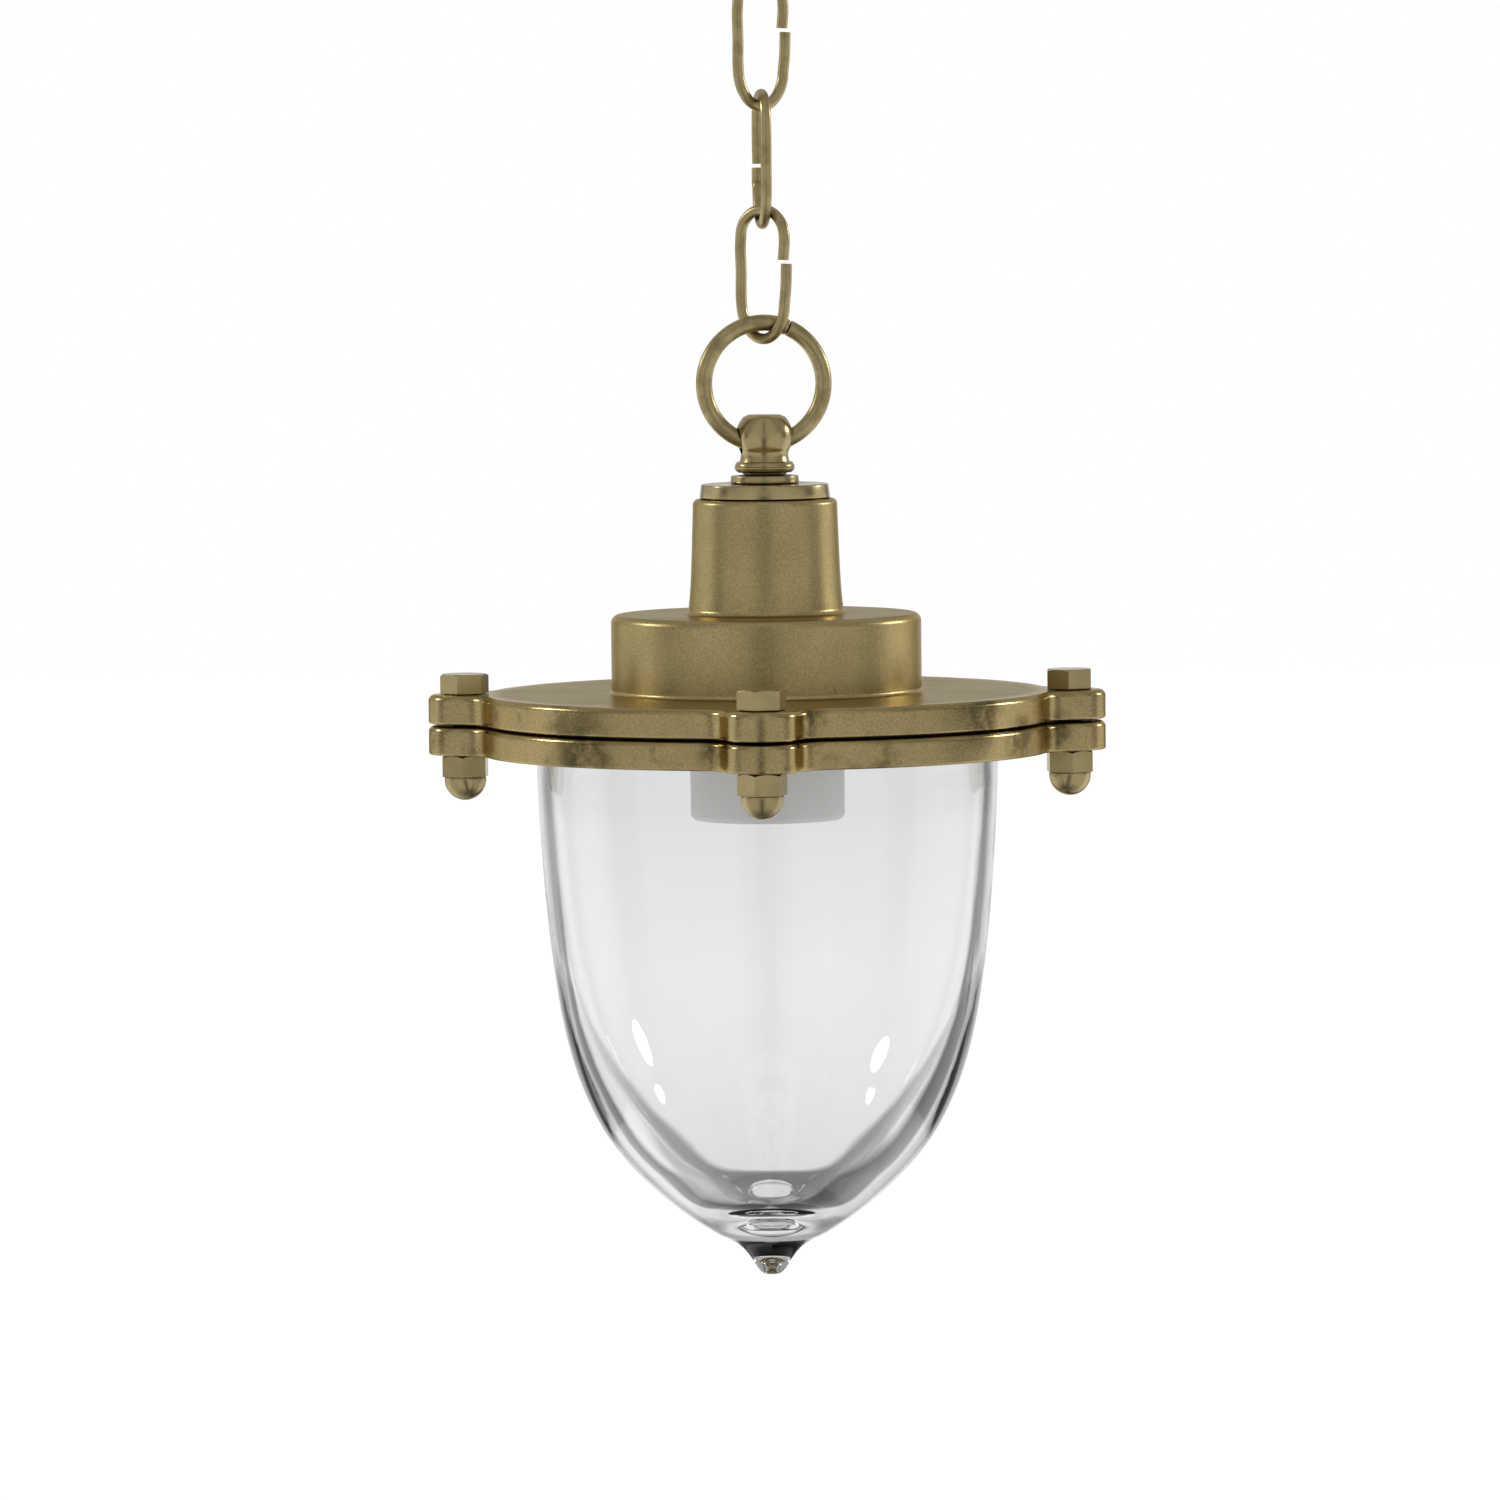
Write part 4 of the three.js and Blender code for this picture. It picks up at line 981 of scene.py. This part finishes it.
def makeHolder():
    h = holder
    profile = [
        (0, h["top"]),
        (h["radius"] - h["round"] - 1, h["top"]),
        *reversed(arc(h["radius"] - h["round"], h["top"] - h["round"], h["round"], 0, 90, 8)),
        (h["radius"], h["top"] - 12),
        (h["radius"] - 0.35, h["top"] - 12.4),
        (h["radius"] - 0.35, h["top"] - 13.6),
        (h["radius"], h["top"] - 14),
        *reversed(arc(h["radius"] - h["round"], h["bottom"] + h["round"], h["round"], -90, 0, 8)),
        *arc(h["mouth"] + 1.2, h["bottom"] + 1.2, 1.2, 270, 180, 6),
        *arc(h["mouth"] - 0.8, h["bottom"] + h["mouthDepth"] - 0.8, 0.8, 0, 90, 4),
        (h["shell"] + 0.3, h["bottom"] + h["mouthDepth"]),
        (h["shell"], h["bottom"] + h["mouthDepth"] + 0.3),
        (h["shell"], h["cavityTop"]),
        (2.4, h["cavityTop"]),
        (2.4, h["cavityTop"] + 2.7),
        (0, h["cavityTop"] + 2.7),
    ]
    piece = turn("lamp_holder_glazed", profile, 160)
    for x in (-1, 1):
        boolean(piece, plainRod(2.05, h["top"] - 8.3, h["top"] + 3, x * 13.03, 0, 32))
    lift(piece, flangeTop)
    settle(piece, 40)
    evenNormals(piece)
    return standsFor(piece, "lamp_holder")


def makeShell():
    s = shell
    wave = []
    for i in range(s["rolls"] * 12 + 1):
        share = i / (s["rolls"] * 12)
        swell = s["roll"] / 2 * (1 - math.cos(2 * math.pi * s["rolls"] * share))
        wave.append((s["inner"] + swell, s["low"] + share * (s["high"] - s["low"])))
    outer = [(r + s["thickness"], z) for r, z in wave]
    piece = turn("holder_thread_shell_rolled", [*outer, *reversed(wave), outer[0]], 128)
    lift(piece, flangeTop)
    settle(piece, 50)
    return standsFor(piece, "holder_thread_shell")


makeHolder()
makeShell()
print("lamp holder made")


# ---- cable gland behind the tower

gland = {"at": 35.7, "bore": 3.6, "thread": 5, "flats": 13, "seat": 23.8, "shoulder": 28.8, "neck": 5.3, "neckTop": 33.8, "pocket": 4.5,
         "nutFlats": 14, "nutFoot": 29.1, "nutHead": 36.6}


def makeGland():
    g = gland
    body = hexBlock("gland_body_turned", g["flats"], g["seat"], g["shoulder"], True, False)
    core = [
        (0, 17.5), (g["thread"] - 0.6, 17.5), (g["thread"], 18.2), (g["thread"], g["seat"] + 1), (g["neck"], g["seat"] + 1),
        (g["neck"], g["neckTop"] - 0.4), (g["neck"] - 0.4, g["neckTop"]), (0, g["neckTop"]),
    ]
    boolean(body, turn("core", core, 96), "UNION")
    boolean(body, plainRod(g["bore"], 10, 45, sides=64))
    boolean(body, plainRod(g["pocket"], g["neckTop"] - 3, 45, sides=64))
    cap = hexBlock("gland_nut_turned", g["nutFlats"], g["nutFoot"], g["nutHead"], True, False)
    boolean(cap, plainRod(g["neck"] + 0.3, g["nutFoot"] - 3, g["neckTop"] + 0.3, sides=64))
    boolean(cap, plainRod(g["bore"], g["nutFoot"], g["nutHead"] + 3, sides=64))
    low, high, outer = g["neckTop"] - 2.7, g["neckTop"], g["pocket"] - 0.3
    seal = turn("gland_seal_moulded", [(g["bore"], low), (outer, low), (outer, high - 0.3), (outer - 0.3, high), (g["bore"] + 0.3, high), (g["bore"], high - 0.3), (g["bore"], low)], 64)
    for piece, name in ((body, "gland_body"), (cap, "gland_nut"), (seal, "gland_seal")):
        if name != "gland_seal":
            softenEdges(piece, 0.2, 2, 42)
        piece.location = (0, g["at"] * mm, flangeTop)
        settle(piece, 32)
        standsFor(piece, name)


makeGland()
print("cable gland made")


# ---- studio

studio = {"floor": -0.62, "floorSize": 14}


def greyRamp(tree, value, low, high, stops):
    ramp = tree.nodes.new("ShaderNodeValToRGB")
    share = mathNode(tree, "MULTIPLY_ADD", value, 1 / (high - low), -low / (high - low), clamp=True)
    tree.links.new(share, ramp.inputs["Fac"])
    elements = ramp.color_ramp.elements
    while len(elements) > 1:
        elements.remove(elements[-1])
    for i, (place, grey) in enumerate(stops):
        stop = elements[0] if i == 0 else elements.new((place - low) / (high - low))
        stop.position = (place - low) / (high - low)
        stop.color = (grey, grey, grey, 1)
    return ramp.outputs["Color"]


def bearingRamp(tree, x, y, stops):
    # a grey by compass bearing: 0 on the camera's side, 90 to the right, 180 behind
    bearing = mathNode(tree, "ARCTAN2", x, mathNode(tree, "MULTIPLY", y, -1.0))
    return greyRamp(tree, mathNode(tree, "MULTIPLY", bearing, 180 / math.pi), -180, 180, stops)


def makeFloor():
    # seen white by the camera; towards the lamp its light falls off, as under a lit sweep
    clearSelection()
    bpy.ops.mesh.primitive_plane_add(size=studio["floorSize"], location=(0, 0, studio["floor"]))
    floor = named("floor")
    material, tree, shader, place = newMaterial("paleFloor", Base_Color=(0.0, 0.0, 0.0), Roughness=0.9, Emission_Strength=1.0)
    parts = tree.nodes.new("ShaderNodeSeparateXYZ")
    tree.links.new(place, parts.inputs[0])
    x, y = parts.outputs["X"], parts.outputs["Y"]
    across = mathNode(tree, "SQRT", mathNode(tree, "ADD", mathNode(tree, "POWER", x, 2.0), mathNode(tree, "POWER", y, 2.0)))
    front = bearingRamp(tree, x, y, [
        (-180, 0.9), (-100, 0.9), (-90, 0.6), (-16, 0.6), (-10, 0.3), (-5, 0.25), (-4, 0.05), (3, 0.05), (4, 0.25), (9, 0.3),
        (15, 0.6), (90, 0.6), (100, 0.9), (180, 0.9)])
    beside = mathNode(tree, "SUBTRACT", mathNode(tree, "ABSOLUTE", x), 0.1)
    fromStrip = mathNode(tree, "SUBTRACT", mathNode(tree, "MULTIPLY", beside, 0.746),
                         mathNode(tree, "MULTIPLY", mathNode(tree, "SUBTRACT", y, 0.32), 0.667))
    leftStrip = greyRamp(tree, fromStrip, -0.3, 0.5, [(-0.19, 1.0), (-0.12, 0.3), (0.0, 0.15), (0.07, 1.0)])
    rightStrip = greyRamp(tree, fromStrip, -0.3, 0.5, [(-0.2, 1.0), (-0.12, 0.22), (0.08, 0.09), (0.15, 1.0)])
    strips = mixColours(tree, mathNode(tree, "GREATER_THAN", x, 0.0), leftStrip, rightStrip)
    behind = mathNode(tree, "MULTIPLY", range01(tree, y, -0.1, 0.1),
                      mathNode(tree, "SUBTRACT", 1.0, range01(tree, across, 1.6, 2.6)))
    sweep = mixColours(tree, 1.0, mixColours(tree, behind, (1.0, 1.0, 1.0), strips), front, "MULTIPLY")
    pool = greyRamp(tree, across, 0.0, 0.6, [(0.0, 0.24), (0.12, 0.26), (0.2, 0.58), (0.3, 0.63), (0.36, 1.0)])
    farBand = bearingRamp(tree, x, y, [
        (-180, 1.0), (-160, 1.0), (-153, 0.38), (-143, 0.38), (-137, 1.0), (137, 1.0), (143, 0.26), (153, 0.26), (160, 1.0),
        (180, 1.0)])
    banded = mixColours(tree, range01(tree, across, 1.2, 1.9), sweep, farBand, "MULTIPLY")
    faded = mixColours(tree, range01(tree, across, 2.0, 5.0), banded, (0.86, 0.86, 0.86), "MULTIPLY")
    fall = mixColours(tree, 1.0, faded, pool, "MULTIPLY")
    path = tree.nodes.new("ShaderNodeLightPath")
    glow = mixColours(tree, path.outputs["Is Camera Ray"], fall, (1.0, 1.0, 1.0))
    tree.links.new(glow, shader.inputs["Emission Color"])
    floor.data.materials.append(material)


def softbox(name, azimuth, elevation, distance, width, height, radiance):
    # azimuth 0 stands on the camera's side, 90 to the right
    a, e = math.radians(azimuth), math.radians(elevation)
    aim = Vector((0, 0, flangeTop))
    place = aim + distance * Vector((math.sin(a) * math.cos(e), -math.cos(a) * math.cos(e), math.sin(e)))
    clearSelection()
    bpy.ops.object.light_add(type="AREA", location=place)
    lamp = bpy.context.active_object
    lamp.name = name
    lamp.data.shape = "ELLIPSE"
    lamp.data.size = width
    lamp.data.size_y = height
    lamp.data.energy = radiance * 4 * math.pi * width * height
    lamp.rotation_euler = (aim - place).to_track_quat("-Z", "Y").to_euler()
    lamp.visible_camera = False


def makeWorld():
    # a grey room in front, a lit sweep behind, dark gaps at the sides and a dark ceiling
    world = bpy.data.worlds.new("studioRoom")
    bpy.context.scene.world = world
    world.use_nodes = True
    tree = world.node_tree
    background = tree.nodes["Background"]
    direction = tree.nodes.new("ShaderNodeTexCoord").outputs["Generated"]
    parts = tree.nodes.new("ShaderNodeSeparateXYZ")
    tree.links.new(direction, parts.inputs[0])
    x, y = parts.outputs["X"], parts.outputs["Y"]
    level = bearingRamp(tree, x, y, [
        (-180, 0.79), (-161, 0.79), (-154, 0.3), (-143, 0.3), (-137, 0.6), (-112, 0.6), (-106, 0.8), (-90, 0.8),
        (-85, 0.2), (-72, 0.14), (-66, 0.56), (-18, 0.56), (-9, 0.45), (-4, 0.38), (4, 0.38),
        (9, 0.45), (18, 0.56), (74, 0.56), (79, 0.16), (96, 0.14), (103, 0.8), (122, 0.8), (128, 0.6), (134, 0.6),
        (142, 0.22), (154, 0.22), (161, 0.79), (180, 0.79)])
    above = bearingRamp(tree, x, y, [
        (-180, 0.5), (-133, 0.5), (-124, 0.36), (-66, 0.32), (-40, 0.5), (-5, 0.5), (-4, 0.12), (3, 0.12), (4, 0.5),
        (40, 0.5), (66, 0.32), (124, 0.36), (133, 0.5), (180, 0.5)])
    up = range01(tree, parts.outputs["Z"], 0.1, 0.26)
    room = mixColours(tree, up, level, above)
    path = tree.nodes.new("ShaderNodeLightPath")
    seen = mixColours(tree, path.outputs["Is Camera Ray"], room, (1.0, 1.0, 1.0))
    tree.links.new(seen, background.inputs["Color"])
    background.inputs["Strength"].default_value = 1.0


def makeCamera():
    distance, azimuth = 2.96, math.radians(1.0)
    right = Vector((math.cos(azimuth), math.sin(azimuth), 0))
    place = Vector((distance * math.sin(azimuth), -distance * math.cos(azimuth), flangeTop + 0.181))
    aim = Vector((0, 0, flangeTop - 0.0176)) - 0.0052 * right
    clearSelection()
    bpy.ops.object.camera_add(location=place)
    camera = bpy.context.active_object
    camera.name = "camera"
    camera.data.lens = 236.8
    camera.data.sensor_width = 36
    camera.data.clip_start = 0.05
    camera.data.clip_end = 60
    look = (aim - place).to_track_quat("-Z", "Y").to_matrix().to_4x4()
    camera.matrix_world = Matrix.Translation(place) @ look @ Matrix.Rotation(math.radians(-0.55), 4, "Z")
    bpy.context.scene.camera = camera


makeFloor()
makeWorld()
softbox("leftBox", -102, 26, 1.7, 0.4, 0.28, 2.6)
softbox("rightBox", 114, 17, 1.7, 0.42, 0.3, 2.6)
makeCamera()
bpy.context.scene.view_settings.view_transform = "Standard"
bpy.context.scene.view_settings.look = "None"
print("studio made")
